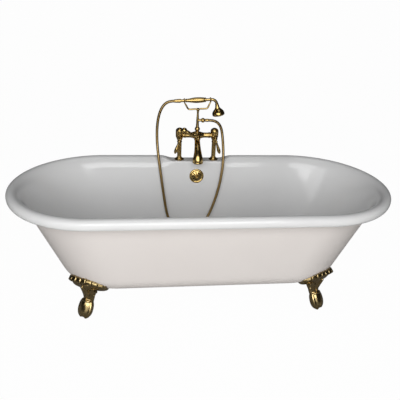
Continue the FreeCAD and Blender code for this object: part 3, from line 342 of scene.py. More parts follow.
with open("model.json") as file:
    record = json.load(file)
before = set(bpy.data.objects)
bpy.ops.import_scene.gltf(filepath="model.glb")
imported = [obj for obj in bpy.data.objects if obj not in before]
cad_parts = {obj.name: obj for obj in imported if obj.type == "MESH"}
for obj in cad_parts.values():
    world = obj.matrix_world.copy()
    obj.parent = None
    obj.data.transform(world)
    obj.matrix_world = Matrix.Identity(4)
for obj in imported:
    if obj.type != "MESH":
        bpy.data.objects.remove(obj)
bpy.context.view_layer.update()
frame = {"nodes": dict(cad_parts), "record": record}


# Materials

def material(name):
    made = bpy.data.materials.new(name)
    made.use_nodes = True
    tree = made.node_tree
    return made, tree, tree.nodes["Principled BSDF"]


def put(made, inputs):
    for key, value in inputs.items():
        made.inputs[key].default_value = value


def node(tree, kind, inputs=None, **settings):
    made = tree.nodes.new(kind)
    for key, value in settings.items():
        setattr(made, key, value)
    put(made, inputs or {})
    return made


def noise(tree, scale, detail):
    made = node(tree, "ShaderNodeTexNoise", {"Scale": scale, "Detail": detail, "Roughness": 0.5})
    tree.links.new(node(tree, "ShaderNodeTexCoord").outputs["Object"], made.inputs["Vector"])
    return made.outputs["Fac"]


def ramp(tree, source, stops):
    made = node(tree, "ShaderNodeValToRGB")
    elements = made.color_ramp.elements
    while len(elements) < len(stops):
        elements.new(0.5)
    for element, (place, colour) in zip(elements, stops):
        element.position = place
        element.color = (*colour, 1.0)
    tree.links.new(source, made.inputs["Fac"])
    return made.outputs["Color"]


def span(tree, source, low, high):
    made = node(tree, "ShaderNodeMapRange", {"To Min": low, "To Max": high})
    tree.links.new(source, made.inputs["Value"])
    return made.outputs["Result"]


def bump(tree, shader, source, distance, strength):
    made = node(tree, "ShaderNodeBump", {"Distance": distance, "Strength": strength})
    tree.links.new(source, made.inputs["Height"])
    if shader.inputs["Normal"].is_linked:
        tree.links.new(shader.inputs["Normal"].links[0].from_socket, made.inputs["Normal"])
    tree.links.new(made.outputs["Normal"], shader.inputs["Normal"])


def surface(name, tint, gloss, bumps, metal=0.0):
    # tint: scale and detail of the noise, dark and light colour.
    # gloss: scale of the noise, least and most roughness.
    # bumps: scale and detail of the noise, depth and strength of each.
    made, tree, shader = material(name)
    scale, detail, dark, light = tint
    colour = ramp(tree, noise(tree, scale, detail), ((0.3, dark), (0.7, light)))
    tree.links.new(colour, shader.inputs["Base Color"])
    scale, low, high = gloss
    tree.links.new(span(tree, noise(tree, scale, 3.0), low, high), shader.inputs["Roughness"])
    for scale, detail, depth, strength in bumps:
        bump(tree, shader, noise(tree, scale, detail), depth, strength)
    put(shader, {"Metallic": metal})
    return made


def brass(name, light, dark, smooth, grain, depth):
    # Brass under a thin clear coat, with painted shade that darkens its nooks.
    made = surface(name, (grain, 4.0, dark, light), (grain * 3, smooth * 0.75, smooth * 1.5),
                   ((grain * 2.5, 2.0, depth, 0.5),), 1.0)
    tree = made.node_tree
    shader = tree.nodes["Principled BSDF"]
    base = shader.inputs["Base Color"]
    # Painted shade: ambient occlusion darkens the brass colour in nooks, creases and between parts.
    nook = node(tree, "ShaderNodeAmbientOcclusion", {"Distance": 0.012}, samples=4)
    painted_nook_shade = ramp(tree, nook.outputs["AO"], ((0.2, (0.34, 0.26, 0.17)), (0.8, (1.0, 1.0, 1.0))))
    mixed = node(tree, "ShaderNodeMix", {"Factor": 1.0}, data_type="RGBA", blend_type="MULTIPLY")
    tree.links.new(base.links[0].from_socket, mixed.inputs["A"])
    tree.links.new(painted_nook_shade, mixed.inputs["B"])
    tree.links.new(mixed.outputs["Result"], base)
    put(shader, {"Coat Weight": 0.5, "Coat Roughness": 0.12})
    return made


ENAMEL = surface("white_enamel", (3.0, 4.0, (0.80, 0.80, 0.80), (0.83, 0.83, 0.825)), (14.0, 0.09, 0.17),
                 ((9.0, 2.0, 0.0012, 0.5), (420.0, 2.0, 0.00004, 0.4)))
PAINT = surface("outside_paint", (2.2, 5.0, (0.775, 0.725, 0.695), (0.80, 0.755, 0.725)),
                (20.0, 0.34, 0.46), ((7.0, 3.0, 0.0016, 0.5), (520.0, 2.0, 0.00006, 0.5)))
POLISHED = brass("polished_brass", (0.60, 0.415, 0.145), (0.48, 0.325, 0.105), 0.18, 40.0, 0.00001)
CAST = brass("cast_brass", (0.60, 0.45, 0.21), (0.44, 0.32, 0.13), 0.18, 38.0, 0.00006)
HOSE_BRASS = brass("hose_brass", (0.32, 0.215, 0.08), (0.25, 0.165, 0.06), 0.30, 90.0, 0.00001)
DARK_BRASS = brass("dark_brass", (0.12, 0.085, 0.04), (0.07, 0.05, 0.025), 0.34, 30.0, 0.00002)
RUBBER = surface("black_rubber", (300.0, 3.0, (0.012, 0.012, 0.012), (0.03, 0.03, 0.03)),
                 (300.0, 0.7, 0.7), ((900.0, 3.0, 0.0001, 1.0),))
STEEL = surface("zinc_steel", (120.0, 3.0, (0.42, 0.43, 0.45), (0.58, 0.58, 0.57)), (300.0, 0.28, 0.45),
                ((700.0, 3.0, 0.00005, 1.0),), 1.0)


# Mesh helpers

def stand(name, data):
    made = bpy.data.objects.new(name, data)
    bpy.context.scene.collection.objects.link(made)
    return made


def piece(name, points, faces, materials, slots=None):
    mesh = bpy.data.meshes.new(name)
    mesh.from_pydata([tuple(p) for p in points], [], faces)
    for made in materials:
        mesh.materials.append(made)
    mesh.polygons.foreach_set("use_smooth", [True] * len(mesh.polygons))
    if slots:
        mesh.polygons.foreach_set("material_index", slots)
    mesh.update()
    return stand(name, mesh)


def turns(count):
    # Angles all the way round.
    return [2 * pi * k / count for k in range(count)]


def cylinder(name, base, axis, radius, length):
    turn = axis.to_track_quat("Z", "Y").to_matrix()
    points = []
    for height in (0.0, length):
        for angle in turns(HOLE_SIDES):
            points.append(base + turn @ Vector((radius * cos(angle), radius * sin(angle), height)))
    ends = [tuple(range(HOLE_SIDES))[::-1], tuple(range(HOLE_SIDES, 2 * HOLE_SIDES))]
    return piece(name, points, ends + skin_faces(2, HOLE_SIDES), [])


def settle(made):
    # Applies the piece's modifiers to its mesh.
    graph = bpy.context.evaluated_depsgraph_get()
    mesh = bpy.data.meshes.new_from_object(made.evaluated_get(graph))
    made.modifiers.clear()
    made.data = mesh
    return made


def combine(made, cutters, operation):
    for cutter in cutters:
        step = made.modifiers.new(cutter.name, "BOOLEAN")
        step.object = cutter
        step.operation = operation
        step.solver = "EXACT"
    settle(made)
    for cutter in cutters:
        bpy.data.objects.remove(cutter)


def flowing(stations, steps):
    # A smooth run through the stations, each a tuple of numbers.
    last = len(stations) - 1
    run = []
    for k in range(last):
        near = [stations[max(0, min(last, k + j))] for j in (-1, 0, 1, 2)]
        for j in range(steps):
            run.append(tuple(between(j / steps, *values) for values in zip(*near)))
    run.append(stations[last])
    return run


def between(t, p, q, r, w):
    # From q at 0 to r at 1, led by their neighbours p and w.
    return q + 0.5 * t * (r - p + t * (2 * p - 5 * q + 4 * r - w + t * (3 * (q - r) + w - p)))


def skin_faces(rows, count):
    # Faces between rows of count points, round each row.
    faces = []
    for low in range(0, (rows - 1) * count, count):
        high = low + count
        for k in range(count):
            ahead = (k + 1) % count
            faces.append((low + k, low + ahead, high + ahead, high + k))
    return faces


def add_rows(store, rows):
    # Rows of points joined into a skin, round each row, with flat ends.
    count = len(rows[0])
    last = (len(rows) - 1) * count
    faces = skin_faces(len(rows), count)
    faces.append(tuple(range(count))[::-1])
    faces.append(tuple(range(last, last + count)))
    start = len(store[0])
    store[0].extend(p for row in rows for p in row)
    store[1].extend(tuple(start + k for k in face) for face in faces)


def add_ball(store, centre, radius):
    rows = []
    for j in range(1, 12):
        lean = pi * j / 12
        wide = radius * sin(lean)
        height = -radius * cos(lean)
        rows.append([centre + Vector((wide * cos(turn), wide * sin(turn), height))
                     for turn in turns(20)])
    add_rows(store, rows)


def rings_along(places, radius, around):
    # Rings of points along a line; radius takes the place's number and the angle.
    rows = []
    normal = None
    for k, place in enumerate(places):
        way = (places[min(k + 1, len(places) - 1)] - places[max(k - 1, 0)]).normalized()
        if normal is None:
            normal = way.orthogonal().normalized()
        normal = (normal - way * normal.dot(way)).normalized()
        other = way.cross(normal)
        rows.append([place + (normal * cos(angle) + other * sin(angle)) * radius(k, angle)
                     for angle in turns(around)])
    return rows


def add_tube(store, line, around=14):
    # line holds (x, y, z, radius); the ends are rounded with balls.
    places = [Vector(p[:3]) for p in line]
    add_rows(store, rings_along(places, lambda k, angle: line[k][3], around))
    for end in (0, -1):
        add_ball(store, places[end], line[end][3])


def lathe_rows(profile, base, axis, count=48):
    # Rings round an axis, for each distance along it and radius in the profile.
    axis = Vector(axis).normalized()
    side = axis.orthogonal().normalized()
    other = axis.cross(side)
    ways = [side * cos(turn) + other * sin(turn) for turn in turns(count)]
    rows = []
    for along, radius in profile:
        middle = base + axis * along
        rows.append([middle + way * radius for way in ways])
    return rows


def skin_piece(name, rows):
    store = ([], [])
    add_rows(store, rows)
    made = piece(name, *store, [POLISHED])
    made.data.set_sharp_from_angle(angle=SHARP_ANGLE)
    return made


def fused(name, store, made_of, voxel, rounds):
    # One even skin round everything in the store.
    made = piece(name, *store, [made_of])
    step = made.modifiers.new("union", "REMESH")
    step.mode = "VOXEL"
    step.voxel_size = voxel
    step.use_smooth_shade = True
    even = made.modifiers.new("even", "SMOOTH")
    even.factor = 0.5
    even.iterations = rounds
    return settle(made)


# Tub

def cubic(points, t):
    s = 1 - t
    return tuple(s ** 3 * p + 3 * t * s * s * q + 3 * t * t * s * r + t ** 3 * w
                 for p, q, r, w in zip(*points))


def straight(a, b):
    third = tuple(p + (q - p) / 3 for p, q in zip(a, b))
    return a, third, tuple(p + (q - p) * 2 / 3 for p, q in zip(a, b)), b


def sampled(pieces):
    return [cubic(points, k / count) for points, count in pieces for k in range(1, count + 1)]


def corner_point(half, slope, offset, share):
    # On the round corner between the floor, at share 0, and the wall, at share 1.
    arc_z = FLOOR_Z + CORNER_RADIUS
    lean = (RIM_HEIGHT - RIM_DEPTH - arc_z) * tan(slope)
    reach = half - RIM_WIDTH - lean - CORNER_RADIUS / cos(slope)
    turn = pi / 2 + (slope - pi / 2) * share
    radius = CORNER_RADIUS + offset
    return reach + radius * cos(turn), arc_z - radius * sin(turn)


def wall_run(half, slope, offset):
    # From the floor up to the rim; offset 0 is the inside face, WALL the outside.
    run = [corner_point(half, slope, offset, k / CORNER_STEPS) for k in range(CORNER_STEPS + 1)]
    low = run[-1]
    high = (half - RIM_WIDTH + offset / cos(slope), RIM_HEIGHT - RIM_DEPTH)
    for k in range(1, WALL_STEPS + 1):
        run.append(tuple(a + (b - a) * k / WALL_STEPS for a, b in zip(low, high)))
    return run


def rim_shape(slope, deck):
    # Inset from the rim's outer edge and height from its crest, from the inside wall to the outside one.
    flat = -DECK_DEPTH
    under = flat - DECK_THICK
    lift = (-RIM_HANDLE * sin(slope), RIM_HANDLE * cos(slope))
    inside = (RIM_WIDTH, -RIM_DEPTH)
    outside = (RIM_WIDTH - WALL / cos(slope), -RIM_DEPTH)
    lip = (LIP_INSET, -LIP_DEPTH)
    lip_back = (LIP_INSET + WALL, LIP_TURN - LIP_DEPTH)
    nose = (LIP_INSET + LIP_NOSE, -LIP_DEPTH - LIP_NOSE)
    inside_up = (inside[0] + lift[0], inside[1] + lift[1])
    outside_up = (outside[0] + lift[0], outside[1] + lift[1])
    if deck:
        knee = (RIM_WIDTH - DECK_KNEE, flat - DECK_ROUND)
        front = (DECK_FRONT, flat)
        crest = (DECK_INSET, flat)
        back = (DECK_BACK, flat)
        side = (0.0, flat - DECK_ROUND)
        edge = (0.0, flat - DECK_SKIRT)
        hollow = (WALL, under - DECK_HOLLOW)
        roof = (DECK_INSET, under)
        over = [(straight(inside, knee), 4),
                ((knee, (knee[0] - KNEE_OUT, flat - ROUND_OUT), (front[0] + FRONT_IN, flat), front), 6),
                (straight(front, crest), 4),
                (straight(crest, back), 4),
                ((back, (ROUND_OUT, flat), (0.0, flat - ROUND_OUT), side), 6),
                (straight(side, edge), 2)]
        rise = (WALL, under - DECK_RISE)
        ceiling = ((WALL, under - ROUND_OUT), (DECK_INSET - ROOF_IN, under), (DECK_INSET + ROOF_IN, under))
        below = (edge[0], edge[1] - SKIRT_DOWN)
    else:
        crest = (CREST_INSET, 0.0)
        edge = (0.0, -ROLL_DEPTH)
        hollow = (WALL, -ROLL_DEPTH)
        roof = (CREST_INSET + ROOF_SHIFT, -WALL)
        over = [((inside, inside_up, (CREST_INSET + CREST_IN, 0.0), crest), 14),
                ((crest, (CREST_INSET - CREST_OUT, 0.0), (0.0, CREST_OUT - ROLL_DEPTH), edge), 12)]
        rise = (WALL, HOLLOW_RISE - LIP_DEPTH)
        ceiling = ((WALL, HOLLOW_UP - ROLL_DEPTH), (CREST_INSET - ROOF_OUT, -WALL),
                   (CREST_INSET + ROOF_IN, -WALL))
        below = (edge[0], edge[1] - ROLL_DOWN)
    return sampled(over + [
        ((edge, below, (LIP_INSET - LIP_PULL, LIP_PULL - LIP_DEPTH), lip), 7),
        ((lip, nose, (LIP_INSET + WALL, -LIP_DEPTH - LIP_UNDER), lip_back), 7),
        ((lip_back, (WALL + LIP_PULL, LIP_BACK - LIP_DEPTH), rise, hollow), 6),
        ((hollow, ceiling[0], ceiling[1], roof), 9),
        ((roof, ceiling[2], outside_up, outside), 9),
    ])


def shell_run(half, slope, share):
    plain = rim_shape(slope, False)
    if share:
        flat = rim_shape(slope, True)
        plain = [tuple(a + (b - a) * share for a, b in zip(p, q)) for p, q in zip(plain, flat)]
    rim = [(half - inset, RIM_HEIGHT + drop) for inset, drop in plain]
    return wall_run(half, slope, 0.0) + rim + wall_run(half, slope, WALL)[::-1][1:]


def deck_share(x):
    t = (DECK_HALF + DECK_RAMP - abs(x)) / DECK_RAMP
    t = max(0.0, min(1.0, t))
    return t * t * (3 - 2 * t)


def end_point(turn, half, low, high, middle):
    # On the round end of one level of the tub, which runs from low at the sides to high at the tip.
    rise = (high - low) * cos(turn) ** 2
    return middle + half * cos(turn), half * sin(turn), low + rise


def ring(side, end, rear):
    # One level of the shell: the front, the right end, the rear and the left end.
    half, low = side
    reach = end[0] - half
    shares = [k / END_COUNT for k in range(END_COUNT)]
    points = [(reach * (2 * k / SIDE_COUNT - 1), -half, low) for k in range(SIDE_COUNT)]
    points += [end_point(pi * (share - 0.5), half, low, end[1], reach) for share in shares]
    for k in range(SIDE_COUNT):
        x = reach * (1 - 2 * k / SIDE_COUNT)
        points.append((x, *rear(x)))
    points += [end_point(pi * (share + 0.5), half, low, end[1], -reach) for share in shares]
    return points


def end_centre():
    side = wall_run(TUB_WIDTH / 2, SIDE_SLOPE, WALL)[0]
    end = wall_run(TUB_LENGTH / 2, END_SLOPE, WALL)[0]
    return Vector((side[0] - end[0], 0.0, 0.0))


def foot_way():
    out = Vector((-FOOT_X, -FOOT_Y, 0.0)) - end_centre()
    return out.normalized()


def corners(point):
    return [Vector((point.x * a, point.y * b, point.z)) for a, b in ((1, 1), (-1, 1), (1, -1), (-1, -1))]


def overflow_seat():
    # The middle of the overflow on the inside wall, and the way out of the tub there.
    wall_y = TUB_WIDTH / 2 - RIM_WIDTH - (OVERFLOW_DEPTH - RIM_DEPTH) * tan(SIDE_SLOPE)
    out = Vector((0, cos(SIDE_SLOPE), -sin(SIDE_SLOPE)))
    return Vector((0, wall_y, RIM_HEIGHT - OVERFLOW_DEPTH)), out


def build_tub():
    side = shell_run(TUB_WIDTH / 2, SIDE_SLOPE, 0.0)
    end = shell_run(TUB_LENGTH / 2, END_SLOPE, 0.0)
    runs = {}
    points = []
    for k in range(len(side)):
        def rear(x, place=k):
            share = round(deck_share(x), 5)
            if share not in runs:
                runs[share] = shell_run(TUB_WIDTH / 2, SIDE_SLOPE, share)
            return runs[share][place]

        points += ring(side[k], end[k], rear)
    count = 2 * SIDE_COUNT + 2 * END_COUNT
    faces = skin_faces(len(side), count)
    slots = [0 if k < ENAMEL_POINTS * count else 1 for k in range(len(faces))]
    last = (len(side) - 1) * count
    faces.append(tuple(range(count))[::-1])
    slots.append(0)
    faces.append(tuple(range(last, last + count)))
    slots.append(1)
    faces = [face[::-1] for face in faces]
    made = piece("tub_shell", points, faces, [ENAMEL, PAINT], slots)
    stud = end_centre() + foot_way() * STUD_REACH
    bosses = []
    for k, place in enumerate(corners(stud)):
        base = Vector((place.x, place.y, BOTTOM_HEIGHT - BOSS_HEIGHT))
        bosses.append(cylinder(f"boss_{k}", base, UP, BOSS_RADIUS, BOSS_HEIGHT + BOSS_SINK))
    combine(made, bosses, "UNION")
    wall, out = overflow_seat()
    drain = Vector((0, DRAIN_Y, BOTTOM_HEIGHT - HOLE_REACH))
    holes = [cylinder("overflow_hole", wall - out * HOLE_REACH, out, OVERFLOW_HOLE, 2 * HOLE_REACH),
             cylinder("drain_hole", drain, UP, DRAIN_HOLE, 2 * HOLE_REACH)]
    for k, x in enumerate((-TAP_X, TAP_X)):
        base = Vector((x, DECK_Y, DECK_Z - TAP_HOLE_REACH))
        holes.append(cylinder(f"tap_hole_{k}", base, UP, DECK_HOLE, 2 * TAP_HOLE_REACH))
    combine(made, holes, "DIFFERENCE")
    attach(made, "tub_assembly")
    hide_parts("tub")


# Overflow plate

def slot_outline(seat, way, across):
    # A slot with round ends, along way.
    half = SLOT_WIDTH / 2
    outline = []
    for angle in turns(SLOT_SIDES):
        end = SLOT_END if cos(angle) > 0 else SLOT_START
        inset = end - copysign(half, cos(angle))
        outline.append(seat + way * (inset + half * cos(angle)) + across * (half * sin(angle)))
    return outline


def build_plate():
    # A domed plate with a rolled edge, hollow behind, with slots round a seat for the screw.
    wall, out = overflow_seat()
    seat = wall + out * PLATE_SINK
    profile = [*PLATE_BACK, *flowing(PLATE_SIZES, 5), PLATE_MIDDLE]
    made = skin_piece("overflow_grille", lathe_rows(profile, seat, -out, 72))
    side = Vector((1, 0, 0))
    other = out.cross(side)
    cutters = []
    for k in range(PLATE_SLOTS):
        turn = 2 * pi * (k + 0.5) / PLATE_SLOTS
        way = side * cos(turn) + other * sin(turn)
        outline = slot_outline(seat, way, out.cross(way))
        store = ([], [])
        add_rows(store, [[p - out * depth for p in outline] for depth in SLOT_CUT])
        cutters.append(piece(f"slot_{k}", *store, []))
    combine(made, cutters, "DIFFERENCE")
    made.data.set_sharp_from_angle(angle=SHARP_ANGLE)
    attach(made, "tub_assembly")
    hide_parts("overflow_plate")


# Feet

def hull_point(turn, share, offset):
    # On the outside of the tub's lower corner, round its left end.
    half, low = corner_point(TUB_WIDTH / 2, SIDE_SLOPE, offset, share)
    reach, high = corner_point(TUB_LENGTH / 2, END_SLOPE, offset, share)
    return Vector(end_point(turn, half, low, high, half - reach))


def share_at(turn, height):
    # How far up the corner the outside of the tub reaches a height.
    low, high = 0.0, 1.0
    for _ in range(24):
        middle = (low + high) / 2
        if hull_point(turn, middle, WALL).z < height:
            low = middle
        else:
            high = middle
    return low


def foot_frame():
    contact = Vector((-FOOT_X, -FOOT_Y, 0.0))
    out = foot_way()
    return contact, out, UP.cross(out)


FOOT_TURN = atan2(foot_way().y, foot_way().x) % (2 * pi)


def bracket_run(side):
    # Distance along the tub from the leg; side runs from -1 at the tub's end to 1.
    return BRACKET_OUTER + (BRACKET_INNER - BRACKET_OUTER) * (side + 1) / 2


def bracket_top(run):
    for (a, low), (b, high) in zip(BRACKET_TOPS, BRACKET_TOPS[1:]):
        if run <= b:
            break
    t = max(0.0, min(1.0, (run - a) / (b - a)))
    return low + (high - low) * t


def bracket_place(side, high, lift):
    # high runs from 0 at the lower edge to 1 at the top.
    run = bracket_run(side)
    turn = FOOT_TURN + run / BRACKET_SPAN
    top = share_at(turn, bracket_top(run))
    low = BRACKET_LOW + (BRACKET_LOW_INNER * side ** 4 if side > 0 else BRACKET_LOW_OUTER * abs(side) ** 1.5)
    return hull_point(turn, low + (top - low) * high, WALL + FOOT_GAP + lift)


def bracket_thick(side, high):
    # A full belly below, a hollow, and a round lip that is notched into beads.
    blunt = max(0.0, 1 - abs(side) ** 7) ** 0.5
    if high < BELLY_TOP:
        shape = (1 - ((BELLY_TOP - high) / BELLY_TOP) ** 2) ** 0.5
    elif high < LIP_START:
        fall = cos(pi / 2 * (high - BELLY_TOP) / (LIP_START - BELLY_TOP)) ** 2
        shape = COVE_SHARE + (1 - COVE_SHARE) * fall
    else:
        round_lip = sin(pi * min(1.0, (high - LIP_START) / LIP_SPAN))
        wave = sin(pi * bracket_run(side) / BEAD_STEP)
        notch = 1 - BEAD_NOTCH * exp(-(wave / BEAD_SHARP) ** 2)
        shape = (COVE_SHARE + BEAD_RISE * round_lip) * notch
    return BRACKET_EDGE + BRACKET_THICK * (1 - BRACKET_TAPER * side) * shape * blunt


def add_bracket(store):
    levels = [k / BRACKET_ROWS for k in range(BRACKET_ROWS + 1)]
    rows = []
    for k in range(BRACKET_STEPS + 1):
        side = sin(pi / 2 * (2 * k / BRACKET_STEPS - 1))
        outer = [bracket_place(side, level, bracket_thick(side, level)) for level in levels]
        inner = [bracket_place(side, level, 0.0) for level in levels[::-1]]
        rows.append(outer + inner)
    add_rows(store, rows)
    add_ball(store, bracket_place(*WING_PLACE), WING_BALL)


def leg_point(station, turn, lift):
    # turn is measured from straight out towards the middle of the tub.
    contact, out, along = foot_frame()
    height, shift, wide, deep = station
    middle = contact + out * shift + UP * height
    return middle + along * (sin(turn) * (wide + lift)) + out * (cos(turn) * (deep + lift))


def leg_place(turn, height, lift):
    near = min(flowing(LEG_STATIONS, 8), key=lambda station: abs(station[0] - height))
    return leg_point((height, *near[1:]), turn, lift)


def add_leg(store):
    rows = []
    for station in flowing(LEG_STATIONS, 8):
        rows.append(clear_of_tub([leg_point(station, turn, 0.0) for turn in turns(LEG_SIDES)]))
    add_rows(store, rows)


def add_leaves(store):
    # Broad leaves that grow up the knee from the cuff and curl over at their tips.
    for turn, top, lean, width in LEAVES:
        stations = []
        for k in range(9):
            share = k / 8
            height = LEAF_FOOT + (top - LEAF_FOOT) * share
            size = width * (0.50 + 0.60 * sin(pi * min(1.0, share * 1.05)) ** 0.8)
            place = leg_place(turn + lean * share ** 2, height, LEAF_CURL * share ** 4 - LEAF_SINK)
            stations.append((*place, size))
        add_tube(store, flowing(stations, 4))


def add_scrolls(store):
    # A curl on each side of the knee.
    for hand in (-1, 1):
        line = []
        for k in range(SCROLL_STEPS + 1):
            angle = SCROLL_ANGLE * k / SCROLL_STEPS
            reach = SCROLL_REACH * (1 - SCROLL_CLOSE * k / SCROLL_STEPS)
            turn = SCROLL_TURN + reach * cos(angle) / KNEE_HALF
            place = leg_place(hand * turn, SCROLL_HEIGHT + reach * sin(angle), SCROLL_LIFT)
            line.append((*place, SCROLL_ROD - SCROLL_THIN * k / SCROLL_STEPS))
        add_tube(store, line, 10)
        add_ball(store, leg_place(hand * SCROLL_TURN, SCROLL_HEIGHT, SCROLL_BALL_LIFT), SCROLL_BALL)


def clear_of_tub(row):
    # Keeps the leg's upper points outside the tub.
    centre = end_centre()
    kept = []
    for p in row:
        turn = atan2(p.y, p.x - centre.x) % (2 * pi)
        share = share_at(turn, p.z) if p.z > BOTTOM_HEIGHT else 0.0
        skin = hull_point(turn, share, WALL + FOOT_GAP)
        way = Vector((cos(turn), sin(turn), 0.0))
        short = (skin - p).dot(way)
        if p.z > BOTTOM_HEIGHT - LEG_CLEAR and short > 0:
            p = p + way * short
        kept.append(p)
    return kept


def paw_place(length, turn):
    # On the paw, an egg that leans outwards; length runs from -1 at the ankle to 1 at the toes.
    contact, out, along = foot_frame()
    way = (out * PAW_LEAN - UP).normalized()
    front = along.cross(way)
    middle = contact + out * PAW_OUT + UP * PAW_HEIGHT
    round_share = max(0.0, 1 - abs(length) ** PAW_FULL) ** (1 / PAW_FULL)
    across = along * (PAW_HALF_WIDTH * sin(turn)) + front * (PAW_HALF_DEPTH * cos(turn))
    return middle + way * (PAW_HALF_LENGTH * length) + across * round_share


def add_paw(store):
    rows = []
    for k in range(1, 24):
        length = -cos(pi * k / 24)
        rows.append([paw_place(length, turn) for turn in turns(PAW_SIDES)])
    add_rows(store, rows)
    middle = paw_place(0.0, 0.0).lerp(paw_place(0.0, pi), 0.5)
    for turn in TOE_TURNS:
        line = []
        for k in range(TOE_STEPS + 1):
            size = TOE_RADIUS * (0.75 + 0.25 * sin(pi * k / TOE_STEPS))
            place = paw_place(TOE_START + TOE_RUN * k / TOE_STEPS, turn)
            inward = (middle - place).normalized() * (TOE_SINK * (1 - 0.5 * k / TOE_STEPS))
            line.append((*(place + inward), size))
        add_tube(store, flowing(line, 3), 18)
    cuff = [(*paw_place(TOE_START, turn), CUFF_ROD) for turn in turns(PAW_SIDES) + [2 * pi]]
    add_tube(store, cuff, 10)


def add_tongue(store):
    # A flat tongue from the leg to the stud under the tub.
    contact, out, along = foot_frame()
    stud = end_centre() + out * STUD_REACH
    low = BOTTOM_HEIGHT - BOSS_HEIGHT - TONGUE_THICK
    half = TONGUE_WIDTH / 2
    far = (contact - stud).length - TONGUE_SHORT
    edge = [stud + out * far + along * half, stud + out * far - along * half]
    for k in range(17):
        turn = pi * k / 16
        edge.append(stud - along * (half * cos(turn)) - out * (half * sin(turn)))
    rows = [[Vector((p.x, p.y, low + rise)) for p in edge] for rise in (0.0, TONGUE_THICK - TONGUE_GAP)]
    add_rows(store, rows)


def build_feet():
    store = ([], [])
    add_bracket(store)
    add_leaves(store)
    add_scrolls(store)
    add_leg(store)
    add_paw(store)
    add_tongue(store)
    made = fused("claw_foot", store, CAST, FOOT_VOXEL, 3)
    for point in made.data.vertices:
        point.co.z = max(point.co.z, 0.0)
    for name, turn_x, turn_y in (("front_left", 1, 1), ("front_right", -1, 1), ("rear_left", 1, -1),
                                 ("rear_right", -1, -1)):
        mesh = made.data.copy()
        mesh.transform(Matrix.Diagonal((turn_x, turn_y, 1, 1)))
        if turn_x * turn_y < 0:
            mesh.flip_normals()
        mesh.name = f"claw_foot_{name}"
        foot = stand(f"claw_foot_{name}", mesh)
        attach(foot, "tub_assembly")
        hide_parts(f"foot_{name}")
    bpy.data.objects.remove(made)


# Taps

def deck_point(x, height, forward=0.0):
    return Vector((x, DECK_Y - forward, DECK_Z + height))


def build_tap_body():
    # One casting: a bar, a barrel at each end and a swelling in the middle that runs into the spout.
    store = ([], [])
    across = Vector((1, 0, 0))
    forward = Vector((0, -1, 0))
    middle = deck_point(0.0, BAR_HEIGHT)
    ends = (deck_point(-TAP_X, BAR_HEIGHT), deck_point(TAP_X, BAR_HEIGHT))
    add_tube(store, [(*end, BAR_RADIUS) for end in ends], 48)
    for end in ends:
        base = Vector((end.x, end.y, DECK_Z))
        add_rows(store, lathe_rows(flowing(BARREL_SIZES, 4), base, UP))
        add_rows(store, lathe_rows(BOSS_SIZES, deck_point(end.x, BAR_HEIGHT - STEM_DROP), forward))
        inward = copysign(RING_INSET, -end.x)
        add_rows(store, lathe_rows(RING_SIZES, end + across * inward, across))
    add_ball(store, middle, CENTRE_RADIUS)
    for way in (across, -across):
        add_rows(store, lathe_rows(flowing(FLANK_SIZES, 4), middle, way))
    add_rows(store, lathe_rows(flowing(NECK_SIZES, 4), middle, UP))
    add_rows(store, lathe_rows(ROOT_SIZES, middle, SPOUT_START))
    add_rows(store, lathe_rows(FRONT_SIZES, middle, forward))
    made = fused("tap_casting", store, POLISHED, CAST_VOXEL, 4)
    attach(made, "tub_assembly")
    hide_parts("tap_body")


def build_risers():
    # Pipe legs with a shank and a supply tail below the deck, and a bead at the top.
    for name, x in (("left", -TAP_X), ("right", TAP_X)):
        profile = list(RISER_LOW)
        for k in range(9):
            turn = pi * k / 8
            profile.append((RISER_BEAD - RISER_BEAD_HALF * cos(turn),
                            RISER_RADIUS + RISER_BEAD_OUT * sin(turn)))
        profile += RISER_TOP
        made = skin_piece(f"pipe_leg_{name}", lathe_rows(profile, deck_point(x, 0.0), UP))
        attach(made, "tub_assembly")
        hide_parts(f"riser_{name}")


def build_spout():
    # A trunk that curves down and opens into a bell with a rolled lip.
    start = deck_point(0.0, BAR_HEIGHT) + SPOUT_START
    mouth = deck_point(0.0, 0.0) + SPOUT_MOUTH
    way = SPOUT_START.normalized()
    controls = [tuple(p) for p in (start, start + way * SPOUT_OUT, mouth + UP * SPOUT_DOWN, mouth)]
    rows = []
    for t, radius in flowing(SPOUT_SIZES, 6):
        ahead = Vector(cubic(controls, min(1.0, t + 0.01)))
        behind = Vector(cubic(controls, max(0.0, t - 0.01)))
        along = (ahead - behind).normalized()
        rows += lathe_rows(((0.0, radius),), Vector(cubic(controls, t)), along)
    rows += lathe_rows(SPOUT_INSIDE, mouth, along)
    made = skin_piece("bell_spout", rows)
    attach(made, "tub_assembly")
    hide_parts("spout")


def lever_piece(name, store, body):
    made = fused(f"{name}_handle", store, POLISHED, CAST_VOXEL, 3)
    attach(made, body)
    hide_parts(name)


